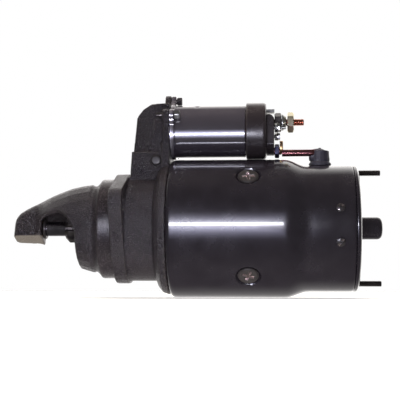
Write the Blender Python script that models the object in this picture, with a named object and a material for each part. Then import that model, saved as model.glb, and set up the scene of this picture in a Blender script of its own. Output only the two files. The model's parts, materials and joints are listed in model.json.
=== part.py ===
"""Starter motor with a solenoid on top, as an assembly of separate pieces.

+X runs along the shaft from the nose to the commutator end, +Z points up to the
solenoid and -Y is the near side. The origin is on the shaft's axis, in the plane of
the mounting flange's front face. All sizes are in metres.
"""

from math import cos, pi, radians, sin, sqrt

import bmesh
import bpy
import numpy as np
from mathutils import Matrix, Vector

GAP = 0.0003                 # clearance between pieces that touch on the real object
FINE, ROUND, SMALL = 40, 24, 14    # sides of large, middle and small round pieces
SHARP = radians(30)

# Drive-end housing
CLOCK = radians(21)          # the nose and the flange are turned this far about the shaft
NOSE_TIP = -0.0866
NOSE_BLOCK_END = -0.0635
DOME_X = -0.0310
PILOT_R = 0.04128            # 3.25 inch pilot
PILOT_X = -0.0120
FLANGE_T = 0.0107
FLANGE_R = 0.0455
EAR_AT = 0.0490              # bolt hole centre from the shaft's axis
EAR_R = 0.0130
BOLT_R = 0.0055
BODY_R = 0.0433
HOUSING_END = 0.0445

# Field frame and what it holds
FRAME_R = 0.05715            # 4.5 inch frame
FRAME_BORE = 0.0532
FRAME_X = HOUSING_END + 2 * GAP
TAPER_X0, TAPER_X1 = 0.1403, 0.1568
REAR_R = 0.0520
REAR_BORE = 0.0486
FRAME_END = 0.1940
POLE_ANGLES = [radians(a) for a in (45, 135, 225, 315)]
POLE_SCREW_X = 0.1096
THROUGH_BOLT_R = 0.0025
THROUGH_BOLT_Z = 0.0455
BRUSH_SCREW_X = 0.1818
BRUSH_SCREW_ANGLES = [radians(165), radians(195)]
LEAD_X = 0.1680
BRUSH_SCREW_R = 0.0014
POLE_SCREW_R = 0.0030
HEAD_SINK = 0.0006           # a pole screw's head lies this far below the frame's surface
THROUGH_BOLT_X0, THROUGH_BOLT_X1 = 0.0404, 0.2172
BRUSH_HALF = 0.0036
BRUSH_X0, BRUSH_X1 = 0.1660, 0.1805

# Armature and drive
NOSE_JOURNAL_R = 0.0050
BUSHING_R = 0.0065           # outside of the nose bushing
SHAFT_R = 0.0060               # bare shaft and rear journal
SPLINE_R = 0.0080
CORE_SHAFT_R = 0.0090
CORE_R = 0.0380
CORE_X0, CORE_X1 = 0.0660, 0.1360
SLOTS = 18
COMMUTATOR_R = 0.0200
COMMUTATOR_X0, COMMUTATOR_X1 = 0.1560, 0.1860
SEGMENTS = 21
PINION_X0, PINION_X1 = -0.0437, -0.0190
PINION_R, PINION_ROOT = 0.0114, 0.0084
PINION_TEETH = 9
CLUTCH_X0, CLUTCH_X1 = -0.0080, 0.0180
CLUTCH_R = 0.0190
SLEEVE_R, SLEEVE_END = 0.0105, 0.0520
COLLAR_X = 0.0415
GROOVE = 0.0094

# Shift lever and solenoid
PIVOT = Vector((0.0335, 0.0, 0.0555))
LEVER_TILT = radians(-8.25)
SOLENOID_Z = 0.0812
SEAT_X = HOUSING_END
CASE_X0, CASE_X1 = SEAT_X + GAP, 0.1068
CASE_FLANGE = 0.0040
CASE_R, CASE_BORE = 0.0219, 0.0202
CAP_R, CAP_X1, CAP_BOSS_X = 0.0236, 0.1240, 0.1304
CHAMBER_END = 0.1170
CONTACT_X = 0.1103           # front of the two fixed contacts
SCREW_AT = 0.0257
SCREW_ANGLES = [radians(90), radians(155), radians(322)]
PIN_X = 0.0298
BATTERY_Z = 0.0884
MOTOR_Z = 0.0644
ROD_Y, ROD_Z, ROD_R = -0.0035, 0.0623, 0.0029
SWITCH_AT = (-0.0110, 0.0825)    # centre of the start terminal, as (y, z)
RELAY_AT = (0.0090, 0.0780)
TERMINAL_R = 0.0031
SMALL_TERMINAL_R = 0.0015
CASE_SCREW_R = 0.0019
LEVER_PIN_R = 0.0030
LEVER_PIN_HEAD_R = 0.0046
PLUNGER_R = 0.0107
CONTACT_ROD_R = 0.0021
COIL_X0, COIL_X1 = 0.0486, 0.0920
SPRING_X0, SPRING_X1 = 0.0619, 0.0836    # plunger's return spring


def clear_scene():
    for old in list(bpy.data.objects):
        bpy.data.objects.remove(old, do_unlink=True)


def finish(name, colour, roughness, metallic, mesh):
    """Give a mesh its object, smooth shading and its own material."""
    thing = bpy.data.objects.new(name, mesh)
    bpy.context.scene.collection.objects.link(thing)
    mesh.shade_smooth()
    mesh.set_sharp_from_angle(angle=SHARP)
    look = bpy.data.materials.new(name)
    look.use_nodes = True
    shader = look.node_tree.nodes["Principled BSDF"]
    shader.inputs["Base Color"].default_value = (*colour, 1.0)
    shader.inputs["Roughness"].default_value = roughness
    shader.inputs["Metallic"].default_value = metallic
    mesh.materials.clear()
    mesh.materials.append(look)
    return thing


def mesh_of(verts, faces):
    """A closed mesh with its faces turned outwards."""
    mesh = bpy.data.meshes.new("shape")
    mesh.from_pydata([tuple(v) for v in verts], [], faces)
    bm = bmesh.new()
    bm.from_mesh(mesh)
    bmesh.ops.remove_doubles(bm, verts=bm.verts, dist=1e-6)
    bmesh.ops.recalc_face_normals(bm, faces=bm.faces)
    bm.to_mesh(mesh)
    bm.free()
    return mesh


def turned(profile, sides=ROUND, centre=(0.0, 0.0), closed=False):
    """Solid of revolution about an axis along X through (y, z) = centre.

    profile holds (x, radius) pairs. An open profile starts and ends on the axis;
    a closed one goes round a ring's section.
    """
    verts, rings = [], []
    for x, r in profile:
        if r < 1e-7:
            rings.append([len(verts)] * sides)
            verts.append((x, centre[0], centre[1]))
            continue
        rings.append(list(range(len(verts), len(verts) + sides)))
        for k in range(sides):
            a = 2 * pi * k / sides
            verts.append((x, centre[0] + r * cos(a), centre[1] + r * sin(a)))
    pairs = list(zip(rings, rings[1:]))
    if closed:
        pairs.append((rings[-1], rings[0]))
    faces = []
    for low, high in pairs:
        for k in range(sides):
            n = (k + 1) % sides
            corners = [low[k], low[n], high[n], high[k]]
            face = list(dict.fromkeys(corners))
            if len(face) > 2:
                faces.append(face)
    return mesh_of(verts, faces)


def rod(x0, x1, r, sides=SMALL, centre=(0.0, 0.0), chamfer=0.0):
    """Cylinder along X, with chamfered ends where chamfer isn't zero."""
    if not chamfer:
        return turned([(x0, 0), (x0, r), (x1, r), (x1, 0)], sides, centre)
    ends = [(x0, 0), (x0, r - chamfer), (x0 + chamfer, r)]
    ends += [(x1 - chamfer, r), (x1, r - chamfer), (x1, 0)]
    return turned(ends, sides, centre)


def tube(x0, x1, inner, outer, sides=ROUND, centre=(0.0, 0.0)):
    """Hollow cylinder along X."""
    ring = [(x0, inner), (x0, outer), (x1, outer), (x1, inner)]
    return turned(ring, sides, centre, closed=True)


def prism(outline, low, high, along="X"):
    """Outline carried from low to high along an axis; its points are (y, z), (x, z) or (x, y)."""
    place = {
        "X": lambda u, v, t: (t, u, v),
        "Y": lambda u, v, t: (u, t, v),
        "Z": lambda u, v, t: (u, v, t),
    }[along]
    n = len(outline)
    verts = [place(u, v, t) for t in (low, high) for u, v in outline]
    faces = [list(range(n)), list(range(n, 2 * n))]
    faces += [[k, (k + 1) % n, n + (k + 1) % n, n + k] for k in range(n)]
    return mesh_of(verts, faces)


def box(x0, x1, y0, y1, z0, z1):
    return prism([(y0, z0), (y1, z0), (y1, z1), (y0, z1)], x0, x1)


def moved(mesh, matrix):
    mesh.transform(matrix)
    return mesh


def about_x(angle, y=0.0, z=0.0):
    """Turn about an axis along X through (y, z)."""
    there = Matrix.Translation((0, y, z))
    return there @ Matrix.Rotation(angle, 4, "X") @ there.inverted()


def combine(base, others, operation):
    """Boolean of a mesh with others, one after another, as a new mesh."""
    body = bpy.data.objects.new("body", base)
    bpy.context.scene.collection.objects.link(body)
    helpers = []
    for other in others:
        helper = bpy.data.objects.new("helper", other)
        bpy.context.scene.collection.objects.link(helper)
        helper.display_type = "WIRE"
        helper.hide_render = True
        helpers.append(helper)
        step = body.modifiers.new("step", "BOOLEAN")
        step.operation = operation
        step.solver = "EXACT"
        step.object = helper
    bpy.context.view_layer.update()
    graph = bpy.context.evaluated_depsgraph_get()
    result = bpy.data.meshes.new_from_object(body.evaluated_get(graph))
    for old in [body, *helpers]:
        bpy.data.objects.remove(old, do_unlink=True)
    bm = bmesh.new()
    bm.from_mesh(result)
    bmesh.ops.remove_doubles(bm, verts=bm.verts, dist=2e-6)
    bmesh.ops.dissolve_degenerate(bm, edges=bm.edges, dist=2e-6)
    bmesh.ops.dissolve_limit(bm, angle_limit=radians(0.3), verts=bm.verts, edges=bm.edges)
    bm.to_mesh(result)
    bm.free()
    return result


def cut(base, *others):
    return combine(base, others, "DIFFERENCE")


def join(base, *others):
    return combine(base, others, "UNION")


def keep(base, *others):
    return combine(base, others, "INTERSECT")


def smooth_curve(stations, count):
    """Catmull-Rom values through stations, which are rows of x and what depends on it."""
    rows = np.array(stations, dtype=float)
    padded = np.vstack([2 * rows[0] - rows[1], rows, 2 * rows[-1] - rows[-2]])
    at = np.linspace(0, len(rows) - 1, count)
    k = np.minimum(at.astype(int), len(rows) - 2)
    t = (at - k)[:, None]
    a, b, c, d = (padded[k + i] for i in range(4))
    cubic = 3 * b - a - 3 * c + d
    square = 2 * a - 5 * b + 4 * c - d
    return 0.5 * (2 * b + (c - a) * t + square * t**2 + cubic * t**3)


def circle(r, sides, centre=(0.0, 0.0), start=0.0):
    ways = [start + 2 * pi * k / sides for k in range(sides)]
    return [(centre[0] + r * cos(a), centre[1] + r * sin(a)) for a in ways]


def hexagon(flats, centre, turn=0.0):
    """Nut outline with the given width across flats; a corner points up at turn 0."""
    return circle(flats / sqrt(3), 6, centre, pi / 2 + turn)


def hull(points):
    """Convex outline round a set of points, anticlockwise."""
    ordered = sorted(set(points))

    def half(run):
        chain = []
        for p in run:
            while len(chain) > 1:
                (ax, ay), (bx, by) = chain[-2], chain[-1]
                if (bx - ax) * (p[1] - ay) - (by - ay) * (p[0] - ax) > 1e-12:
                    break
                chain.pop()
            chain.append(p)
        return chain[:-1]

    return half(ordered) + half(ordered[::-1])


def screw_point(k, radius=SCREW_AT):
    """Centre of solenoid screw k, as (y, z)."""
    a = SCREW_ANGLES[k]
    return radius * cos(a), SOLENOID_Z + radius * sin(a)


def loft(stations, top_power, low_power, sides=24, rows=13):
    """Solid through upright sections; a station is (x, half width, height above, depth below)."""
    verts = []
    for x, w, up, down in smooth_curve(stations, rows):
        for k in range(sides):
            a = 2 * pi * k / sides
            p = top_power if sin(a) >= 0 else low_power
            y = w * np.sign(cos(a)) * abs(cos(a)) ** (2 / p)
            z = (up if sin(a) >= 0 else down) * np.sign(sin(a)) * abs(sin(a)) ** (2 / p)
            verts.append((x, y, z))
    faces = [list(range(sides)), list(range((rows - 1) * sides, rows * sides))]
    for i in range(rows - 1):
        for k in range(sides):
            n = (k + 1) % sides
            faces.append([i * sides + k, i * sides + n, (i + 1) * sides + n, (i + 1) * sides + k])
    return mesh_of(verts, faces)


def nose_solid():
    """Nose arch and bearing block, open below, in the flange's turned frame."""
    outer = loft([
        (NOSE_TIP, 0.0062, 0.0080, 0.0200),
        (-0.0840, 0.0088, 0.0130, 0.0210),
        (-0.0770, 0.0095, 0.0184, 0.0220),
        (-0.0680, 0.0100, 0.0232, 0.0230),
        (-0.0600, 0.0165, 0.0268, 0.0250),
        (-0.0510, 0.0228, 0.0298, 0.0270),
        (-0.0360, 0.0310, 0.0340, 0.0310),
        (-0.0200, 0.0357, 0.0357, 0.0357),
    ], 2.3, 2.3)
    inside = loft([
        (NOSE_BLOCK_END, 0.0096, 0.0150, 0.0150),
        (-0.0590, 0.0128, 0.0190, 0.0190),
        (-0.0500, 0.0180, 0.0240, 0.0240),
        (-0.0360, 0.0260, 0.0285, 0.0285),
        (-0.0300, 0.0280, 0.0290, 0.0290),
    ], 2.2, 2.2, rows=9)
    deep = -0.0600
    window = prism([
        (NOSE_BLOCK_END, deep), (NOSE_BLOCK_END, 0.0035), (-0.0600, 0.0058),
        (-0.0540, 0.0066), (-0.0480, 0.0058), (-0.0430, 0.0028), (-0.0385, -0.0020),
        (-0.0345, -0.0085), (DOME_X, -0.0150), (DOME_X, deep),
    ], -0.06, 0.06, "Y")
    below = box(-0.10, NOSE_BLOCK_END, -0.05, 0.05, deep, -0.0095)
    return cut(outer, inside, window, below)


def flange_plate():
    """Two-ear mounting flange, in the turned frame."""
    ears = [p for side in (-1, 1) for p in circle(EAR_R, ROUND, (side * EAR_AT, 0.0))]
    plate = prism(hull(ears + circle(FLANGE_R, FINE)), 0.0, FLANGE_T)
    holes = [rod(-0.01, 0.03, BOLT_R, SMALL, (side * EAR_AT, 0.0)) for side in (-1, 1)]
    return plate, holes


def housing_shell():
    """Turned outside of the housing: dome, pilot, body, flare and rim."""
    return turned([
        (DOME_X, 0), (DOME_X, 0.0165), (-0.0300, 0.0218), (-0.0272, 0.0289),
        (-0.0239, 0.0334), (-0.0205, 0.0357), (-0.0165, 0.0359), (PILOT_X - 0.0004, 0.0400),
        (PILOT_X, PILOT_R), (0.0004, PILOT_R), (0.0004, 0.0432), (0.0140, BODY_R),
        (0.0335, BODY_R), (0.0340, 0.0452), (0.0355, 0.0491), (0.0388, 0.0530),
        (HOUSING_END - 0.0012, 0.0545), (HOUSING_END, 0.0538), (HOUSING_END, 0),
    ], FINE)


def housing_cavity():
    """Turned hollow for the clutch, the lever's fork and the front of the winding."""
    return turned([
        (-0.0400, 0), (-0.0400, 0.0140), (-0.0262, 0.0140), (-0.0262, 0.0225),
        (-0.0200, 0.0300), (0.0010, 0.0335), (0.0330, 0.0380), (0.0365, 0.0410),
        (0.0500, 0.0410), (0.0500, 0),
    ], ROUND)


def tower_solid():
    """Lever housing: a flat block below, a chamfered upper part, and the round solenoid seat."""
    side = prism([
        (0.0124, 0.030), (0.0124, 0.0466), (0.0135, 0.0630), (0.0149, 0.0755),
        (0.0165, 0.0915), (0.0180, 0.0940), (0.0223, 0.0985), (0.0297, 0.1022),
        (SEAT_X, 0.1030), (SEAT_X, 0.030),
    ], -0.03, 0.03, "Y")
    plan = prism([
        (0.0100, -0.0075), (0.0160, -0.0095), (0.0285, -0.0172), (SEAT_X, -0.0185),
        (SEAT_X, 0.0185), (0.0285, 0.0172), (0.0160, 0.0095), (0.0100, 0.0075),
    ], 0.0600, 0.1100, "Z")
    block = box(0.0100, SEAT_X, -0.0190, 0.0190, 0.0310, 0.0625)
    ridge = box(0.0380, SEAT_X, -0.0205, 0.0205, 0.0310, 0.0700)
    upper = keep(join(plan, block), side)
    barrel = rod(0.0300, SEAT_X, 0.0200, ROUND, (0.0, SOLENOID_Z), 0.002)
    return join(upper, barrel, ridge)


def seat_outline(body_r, lug_r):
    """Round seat with a lug at each solenoid screw, as separate overlapping outlines."""
    discs = [circle(body_r, ROUND, (0.0, SOLENOID_Z))]
    for k in range(len(SCREW_ANGLES)):
        inner = screw_point(k, SCREW_AT - 0.012)
        lug = circle(lug_r, 10, screw_point(k)) + circle(lug_r + 0.005, 10, inner)
        discs.append(hull(lug))
    return discs


def drive_housing():
    plate, bolt_holes = flange_plate()
    turn = about_x(-CLOCK)
    nose = moved(nose_solid(), turn)
    plate = moved(plate, turn)
    bolt_holes = [moved(hole, turn) for hole in bolt_holes]
    seats = [prism(o, SEAT_X - 0.0048 - 0.0002 * k, SEAT_X)
             for k, o in enumerate(seat_outline(0.0240, 0.0050))]
    body = join(housing_shell(), nose, plate, tower_solid(), *seats)
    lever_slot = box(0.0190, 0.0402, -0.0105, 0.0105, 0.0200, 0.0700)
    slot_top = box(0.0200, SEAT_X + 0.01, -0.0102, 0.0102, 0.0660, 0.0905)
    plunger_bore = rod(0.0300, SEAT_X + 0.01, 0.0130, ROUND, (0.0, SOLENOID_Z))
    bearing = rod(-0.0812, NOSE_BLOCK_END + 0.01, BUSHING_R + GAP, ROUND)
    pin_bore = prism(circle(LEVER_PIN_R + GAP, SMALL, (PIVOT.x, PIVOT.z)), -0.0225, 0.0225, "Y")
    pin_head = prism(circle(LEVER_PIN_HEAD_R + GAP, SMALL, (PIVOT.x, PIVOT.z)), -0.0240, -0.0172, "Y")
    threads = [rod(0.0330, SEAT_X + 0.01, CASE_SCREW_R + GAP, 12, screw_point(k))
               for k in range(len(SCREW_ANGLES))]
    bolts = [rod(0.0395, SEAT_X + 0.01, THROUGH_BOLT_R + GAP, 12, (0.0, side * THROUGH_BOLT_Z))
             for side in (-1, 1)]
    holes = [housing_cavity(), lever_slot, slot_top, plunger_bore, bearing, pin_bore, pin_head]
    body = cut(body, *holes, *bolt_holes, *threads, *bolts)
    finish("drive_housing", (0.035, 0.034, 0.037), 0.55, 0.2, body)


def nose_bushing():
    sleeve = tube(-0.0790, -0.0645, NOSE_JOURNAL_R + 0.0001, BUSHING_R, ROUND)
    finish("nose_bushing", (0.55, 0.36, 0.14), 0.4, 1.0, sleeve)


def radial_rod(r, inner, outer, x, angle, sides=SMALL, outer_r=None):
    """Cylinder or cone that points out from the shaft's axis at the given angle and x."""
    top = outer_r if outer_r is not None else r
    shape = turned([(inner, 0), (inner, r), (outer, top), (outer, 0)], sides)
    stand = Matrix.Rotation(-pi / 2, 4, "Y")
    return moved(shape, about_x(angle - pi / 2) @ Matrix.Translation((x, 0, 0)) @ stand)


def field_frame():
    shell = turned([
        (FRAME_X, 0.0545), (FRAME_X + 0.0010, 0.0560), (FRAME_X + 0.0032, FRAME_R),
        (TAPER_X0, FRAME_R), (TAPER_X0 + 0.0040, 0.0562), (TAPER_X1 - 0.0035, 0.0527),
        (TAPER_X1, REAR_R), (FRAME_END, REAR_R), (FRAME_END, REAR_BORE), (0.1535, REAR_BORE),
        (0.1410, FRAME_BORE), (FRAME_X, FRAME_BORE),
    ], FINE, closed=True)
    holes = []
    for a in POLE_ANGLES:
        holes.append(radial_rod(POLE_SCREW_R + 0.0006, 0.045, 0.060, POLE_SCREW_X, a, 10))
        sink = radial_rod(0.0088, FRAME_R - 0.0027, FRAME_R + 0.003, POLE_SCREW_X, a, 20, 0.0122)
        holes.append(sink)
    for a in BRUSH_SCREW_ANGLES:
        holes.append(radial_rod(BRUSH_SCREW_R + 0.0005, 0.045, 0.060, BRUSH_SCREW_X, a, 12))
    holes.append(radial_rod(0.0046, 0.045, 0.060, LEAD_X, pi / 2))
    finish("field_frame", (0.012, 0.012, 0.016), 0.12, 0.0, cut(shell, *holes))


def sector(r0, r1, half, x0, x1, angle, steps=6):
    """Piece of a ring about the shaft, half an opening angle to each side of angle."""
    ways = np.linspace(angle - half, angle + half, steps + 1)
    outline = [(r1 * cos(a), r1 * sin(a)) for a in ways]
    outline += [(r0 * cos(a), r0 * sin(a)) for a in ways[::-1]]
    return prism(outline, x0, x1)


def pole_shoes():
    for k, a in enumerate(POLE_ANGLES):
        horns = sector(CORE_R + 0.0008, 0.0434, radians(31), CORE_X0, CORE_X1, a, 8)
        neck = sector(0.0420, FRAME_BORE - GAP, radians(17), CORE_X0 + 0.006, CORE_X1 - 0.006, a, 6)
        hole = radial_rod(POLE_SCREW_R + GAP, 0.0440, 0.060, POLE_SCREW_X, a, 12)
        finish(f"pole_shoe_{k + 1}", (0.25, 0.25, 0.26), 0.45, 0.9, cut(join(horns, neck), hole))


def field_coils():
    for k, a in enumerate(POLE_ANGLES):
        pad = sector(0.0438, FRAME_BORE - 0.0006, radians(36), 0.0570, 0.1400, a, 8)
        eye = sector(0.0400, 0.0600, radians(19), 0.0700, 0.1320, a, 4)
        finish(f"field_coil_{k + 1}", (0.45, 0.20, 0.08), 0.5, 0.4, cut(pad, eye))


def pole_screws():
    """Countersunk screws with a cross recess, one for each pole shoe."""
    for k, a in enumerate(POLE_ANGLES):
        top = FRAME_R - HEAD_SINK
        shape = turned([
            (0.0450, 0), (0.0450, POLE_SCREW_R), (top - 0.0020, POLE_SCREW_R), (top - 0.0019, 0.0083),
            (top, 0.0082), (top, 0),
        ], 18)
        bars = [box(top - 0.0014, top + 0.001, -w, w, -h, h)
                for w, h in ((0.0013, 0.0052), (0.0052, 0.0013))]
        shape = cut(shape, *bars)
        stand = Matrix.Rotation(-pi / 2, 4, "Y")
        place = about_x(a - pi / 2) @ Matrix.Translation((POLE_SCREW_X, 0, 0)) @ stand
        finish(f"pole_screw_{k + 1}", (0.30, 0.30, 0.31), 0.35, 0.8, moved(shape, place))


def commutator_end_frame():
    plate = turned([
        (FRAME_END + GAP, 0), (FRAME_END + GAP, 0.0514), (0.1955, 0.0521), (0.1970, 0.0515),
        (0.1982, 0.0490), (0.1992, 0.0400), (0.2001, 0.0180), (0.2006, 0.0120),
        (0.2014, 0.0098), (0.2030, 0.0093), (0.2150, 0.0093), (0.2172, 0.0082),
        (0.2184, 0.0060), (0.2186, 0),
    ], FINE)
    hollow = turned([
        (0.1930, 0), (0.1930, 0.0460), (0.1958, 0.0440), (0.1966, 0.0180),
        (0.1968, 0.0076), (0.2150, 0.0076), (0.2150, 0),
    ])
    bolts = [rod(0.19, 0.22, THROUGH_BOLT_R + GAP, 12, (0.0, s * THROUGH_BOLT_Z)) for s in (-1, 1)]
    finish("commutator_end_frame", (0.02, 0.02, 0.022), 0.3, 0.1, cut(plate, hollow, *bolts))


def rear_bushing():
    finish("rear_bushing", (0.55, 0.36, 0.14), 0.4, 1.0, tube(0.2000, 0.2140, 0.0061, 0.0073))


def through_bolts():
    for name, side in (("upper", 1), ("lower", -1)):
        at = (0.0, side * THROUGH_BOLT_Z)
        stud = rod(THROUGH_BOLT_X0, THROUGH_BOLT_X1, THROUGH_BOLT_R, SMALL, at, 0.0006)
        finish(f"through_bolt_{name}", (0.10, 0.09, 0.09), 0.45, 0.8, stud)


def brush_box(angle):
    """Open-ended radial channel that guides one brush, with the channel's cutter."""
    stand = about_x(angle)
    outer = moved(box(0.1642, 0.1822, 0.0215, 0.0380, -0.0053, 0.0053), stand)
    wide = BRUSH_HALF + GAP
    inner = moved(box(BRUSH_X0 - GAP, BRUSH_X1 + GAP, 0.0150, 0.0450, -wide, wide), stand)
    return outer, inner


def brush_plate():
    """Holder ring with four boxes and a mounting lug that meets the frame on the near side."""
    ring = tube(0.1812, 0.1832, 0.0235, 0.0425, FINE)
    boxes = [brush_box(a) for a in POLE_ANGLES]
    lug = sector(0.0405, REAR_BORE - GAP, radians(22), 0.1790, 0.1870, pi, 6)
    body = join(ring, lug, *[outer for outer, _ in boxes])
    holes = [inner for _, inner in boxes]
    for a in BRUSH_SCREW_ANGLES:
        holes.append(radial_rod(BRUSH_SCREW_R + GAP, 0.0420, 0.055, BRUSH_SCREW_X, a, 12))
    finish("brush_plate", (0.20, 0.16, 0.10), 0.5, 0.5, cut(body, *holes))


def brushes():
    for k, a in enumerate(POLE_ANGLES):
        block = box(BRUSH_X0, BRUSH_X1, COMMUTATOR_R + GAP, 0.0330, -BRUSH_HALF, BRUSH_HALF)
        bite = rod(0.15, 0.20, COMMUTATOR_R + GAP, 96)
        brush = cut(moved(block, about_x(a)), bite)
        finish(f"brush_{k + 1}", (0.09, 0.07, 0.06), 0.7, 0.3, brush)


def brush_screws():
    for k, a in enumerate(BRUSH_SCREW_ANGLES):
        head = turned([
            (0.0430, 0), (0.0430, BRUSH_SCREW_R), (REAR_R + 0.0002, BRUSH_SCREW_R),
            (REAR_R + 0.0003, 0.0034), (REAR_R + 0.0011, 0.0032), (REAR_R + 0.0016, 0.0020),
            (REAR_R + 0.0016, 0),
        ], 18)
        slot = box(REAR_R + 0.0010, REAR_R + 0.003, -0.0004, 0.0004, -0.005, 0.005)
        stand = Matrix.Rotation(-pi / 2, 4, "Y")
        place = about_x(a - pi / 2) @ Matrix.Translation((BRUSH_SCREW_X, 0, 0)) @ stand
        screw = moved(cut(head, slot), place)
        finish(f"brush_holder_screw_{k + 1}", (0.10, 0.10, 0.11), 0.35, 0.7, screw)


def armature_shaft():
    bar = turned([
        (-0.0795, 0), (-0.0795, 0.0043), (-0.0788, NOSE_JOURNAL_R), (-0.0640, NOSE_JOURNAL_R),
        (-0.0640, SHAFT_R), (0.0040, SHAFT_R), (0.0040, SPLINE_R), (0.0600, SPLINE_R),
        (0.0600, CORE_SHAFT_R), (0.1905, CORE_SHAFT_R), (0.1905, SHAFT_R), (0.2122, SHAFT_R),
        (0.2130, 0.0052), (0.2130, 0),
    ], ROUND)
    return finish("armature_shaft", (0.60, 0.60, 0.62), 0.22, 1.0, bar)


def gear_outline(count, root, tip, root_share, tip_share):
    """Outline of blunt teeth; the shares are each flat's part of a tooth's pitch."""
    pitch = 2 * pi / count
    corners = [
        (tip, -tip_share / 2), (tip, tip_share / 2),
        (root, 0.5 - root_share / 2), (root, 0.5 + root_share / 2),
    ]
    points = []
    for k in range(count):
        for r, part in corners:
            a = (k + part) * pitch
            points.append((r * cos(a), r * sin(a)))
    return points


def slotted(count, root, tip, slot_width, x0, x1):
    """Round body with straight slots cut from its rim down to root."""
    pitch = 2 * pi / count
    outline = []
    for k in range(count):
        for r, side in ((root, -1), (root, 1), (tip, 1)):
            a = k * pitch + side * slot_width / 2 / r
            outline.append((r * cos(a), r * sin(a)))
        middle = (k + 0.5) * pitch
        outline.append((tip * cos(middle), tip * sin(middle)))
        last = (k + 1) * pitch - slot_width / 2 / tip
        outline.append((tip * cos(last), tip * sin(last)))
    return prism(outline, x0, x1)


def armature_core():
    body = slotted(SLOTS, 0.0285, CORE_R, 0.0040, CORE_X0, CORE_X1)
    core = cut(body, rod(0.05, 0.15, CORE_SHAFT_R + GAP, ROUND))
    return finish("armature_core", (0.30, 0.30, 0.31), 0.5, 0.9, core)


def armature_winding():
    """Two end turns joined by the bars that lie in the core's slots."""
    front = tube(0.0560, CORE_X0 - GAP, 0.0110, 0.0355)
    rear = tube(CORE_X1 + GAP, 0.1515, 0.0110, 0.0355)
    bars = []
    for k in range(SLOTS):
        bar = box(CORE_X0 - 0.004, CORE_X1 + 0.004, 0.0290, 0.0350, -0.0016, 0.0016)
        bars.append(moved(bar, about_x(2 * pi * k / SLOTS)))
    winding = join(front, rear, *bars)
    return finish("armature_winding", (0.62, 0.27, 0.10), 0.35, 0.8, winding)


def commutator():
    bars = slotted(SEGMENTS, COMMUTATOR_R - 0.0010, COMMUTATOR_R, 0.0007,
                   COMMUTATOR_X0, COMMUTATOR_X1)
    riser = tube(0.1518, 0.1565, CORE_SHAFT_R + GAP, 0.0235)
    body = cut(join(bars, riser), rod(0.14, 0.20, CORE_SHAFT_R + GAP, ROUND))
    return finish("commutator", (0.72, 0.38, 0.20), 0.25, 1.0, body)


def pinion_stop():
    ring = turned([
        (-0.0630, SHAFT_R + GAP), (-0.0630, 0.0076), (-0.0623, 0.0083), (-0.0610, 0.0083),
        (-0.0603, 0.0076), (-0.0603, SHAFT_R + GAP),
    ], ROUND, closed=True)
    return finish("pinion_stop", (0.40, 0.40, 0.42), 0.3, 1.0, ring)


def drive_clutch():
    """Overrunning clutch shell with its splined sleeve, turned in one."""
    bore = SPLINE_R + 0.0004
    shell = turned([
        (CLUTCH_X0, 0.0102), (CLUTCH_X0, 0.0178), (CLUTCH_X0 + 0.0012, CLUTCH_R),
        (CLUTCH_X1 - 0.0012, CLUTCH_R), (CLUTCH_X1, 0.0178), (CLUTCH_X1, SLEEVE_R),
        (0.0489, SLEEVE_R), (0.0489, 0.0094), (0.0509, 0.0094), (0.0509, SLEEVE_R),
        (SLEEVE_END, SLEEVE_R), (SLEEVE_END, bore), (-0.0014, bore), (-0.0014, 0.0102),
    ], ROUND, closed=True)
    return finish("drive_clutch", (0.50, 0.50, 0.52), 0.3, 1.0, shell)


def collar_snap_ring():
    ring = tube(0.0492, 0.0506, 0.0097, 0.0126, SMALL)
    return finish("collar_snap_ring", (0.35, 0.35, 0.36), 0.35, 1.0, ring)


def shift_collar():
    half = GROOVE / 2
    inner, floor, rim = SLEEVE_R + GAP, 0.0122, 0.0170
    collar = turned([
        (COLLAR_X - half - 0.0025, inner), (COLLAR_X - half - 0.0025, rim),
        (COLLAR_X - half, rim), (COLLAR_X - half, floor), (COLLAR_X + half, floor),
        (COLLAR_X + half, rim), (COLLAR_X + half + 0.0025, rim),
        (COLLAR_X + half + 0.0025, inner),
    ], ROUND, closed=True)
    return finish("shift_collar", (0.45, 0.45, 0.46), 0.35, 1.0, collar)


def coil_spring(x0, x1, radius, wire, turns, z=0.0, steps=10, sides=5):
    """Helical spring about an axis along X: a small circle carried round a rising turn."""
    count = int(turns * steps)
    ways = np.arange(count + 1) * 2 * pi / steps
    along = np.linspace(x0 + wire, x1 - wire, count + 1)
    verts = []
    for a, x in zip(ways, along):
        for k in range(sides):
            b = 2 * pi * k / sides
            r = radius + wire * cos(b)
            verts.append((x + wire * sin(b), r * cos(a), z + r * sin(a)))
    faces = [list(range(sides)), list(range(count * sides, (count + 1) * sides))]
    for i in range(count):
        for k in range(sides):
            n = (k + 1) % sides
            faces.append([i * sides + k, i * sides + n, (i + 1) * sides + n, (i + 1) * sides + k])
    return mesh_of(verts, faces)


def drive_spring():
    spring = coil_spring(CLUTCH_X1 + GAP, COLLAR_X - GROOVE / 2 - 0.0025 - GAP, 0.0128, 0.0011, 4)
    return finish("drive_spring", (0.35, 0.35, 0.37), 0.35, 1.0, spring)


def pinion():
    blank = prism(gear_outline(PINION_TEETH, PINION_ROOT, PINION_R, 0.24, 0.42),
                  PINION_X0, PINION_X1)
    limit = turned([
        (PINION_X0 - 0.0026, 0), (PINION_X0 - 0.0026, 0.0066), (PINION_X0 + 0.0026, 0.0118),
        (PINION_X1 + 0.001, 0.0118), (PINION_X1 + 0.001, 0),
    ], ROUND)
    neck = rod(PINION_X1 - 0.0010, -0.0018, 0.0096, ROUND)
    body = cut(join(keep(blank, limit), neck), rod(-0.05, 0.01, SHAFT_R + 0.0003, ROUND))
    return finish("pinion", (0.30, 0.30, 0.32), 0.3, 1.0, body)


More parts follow.
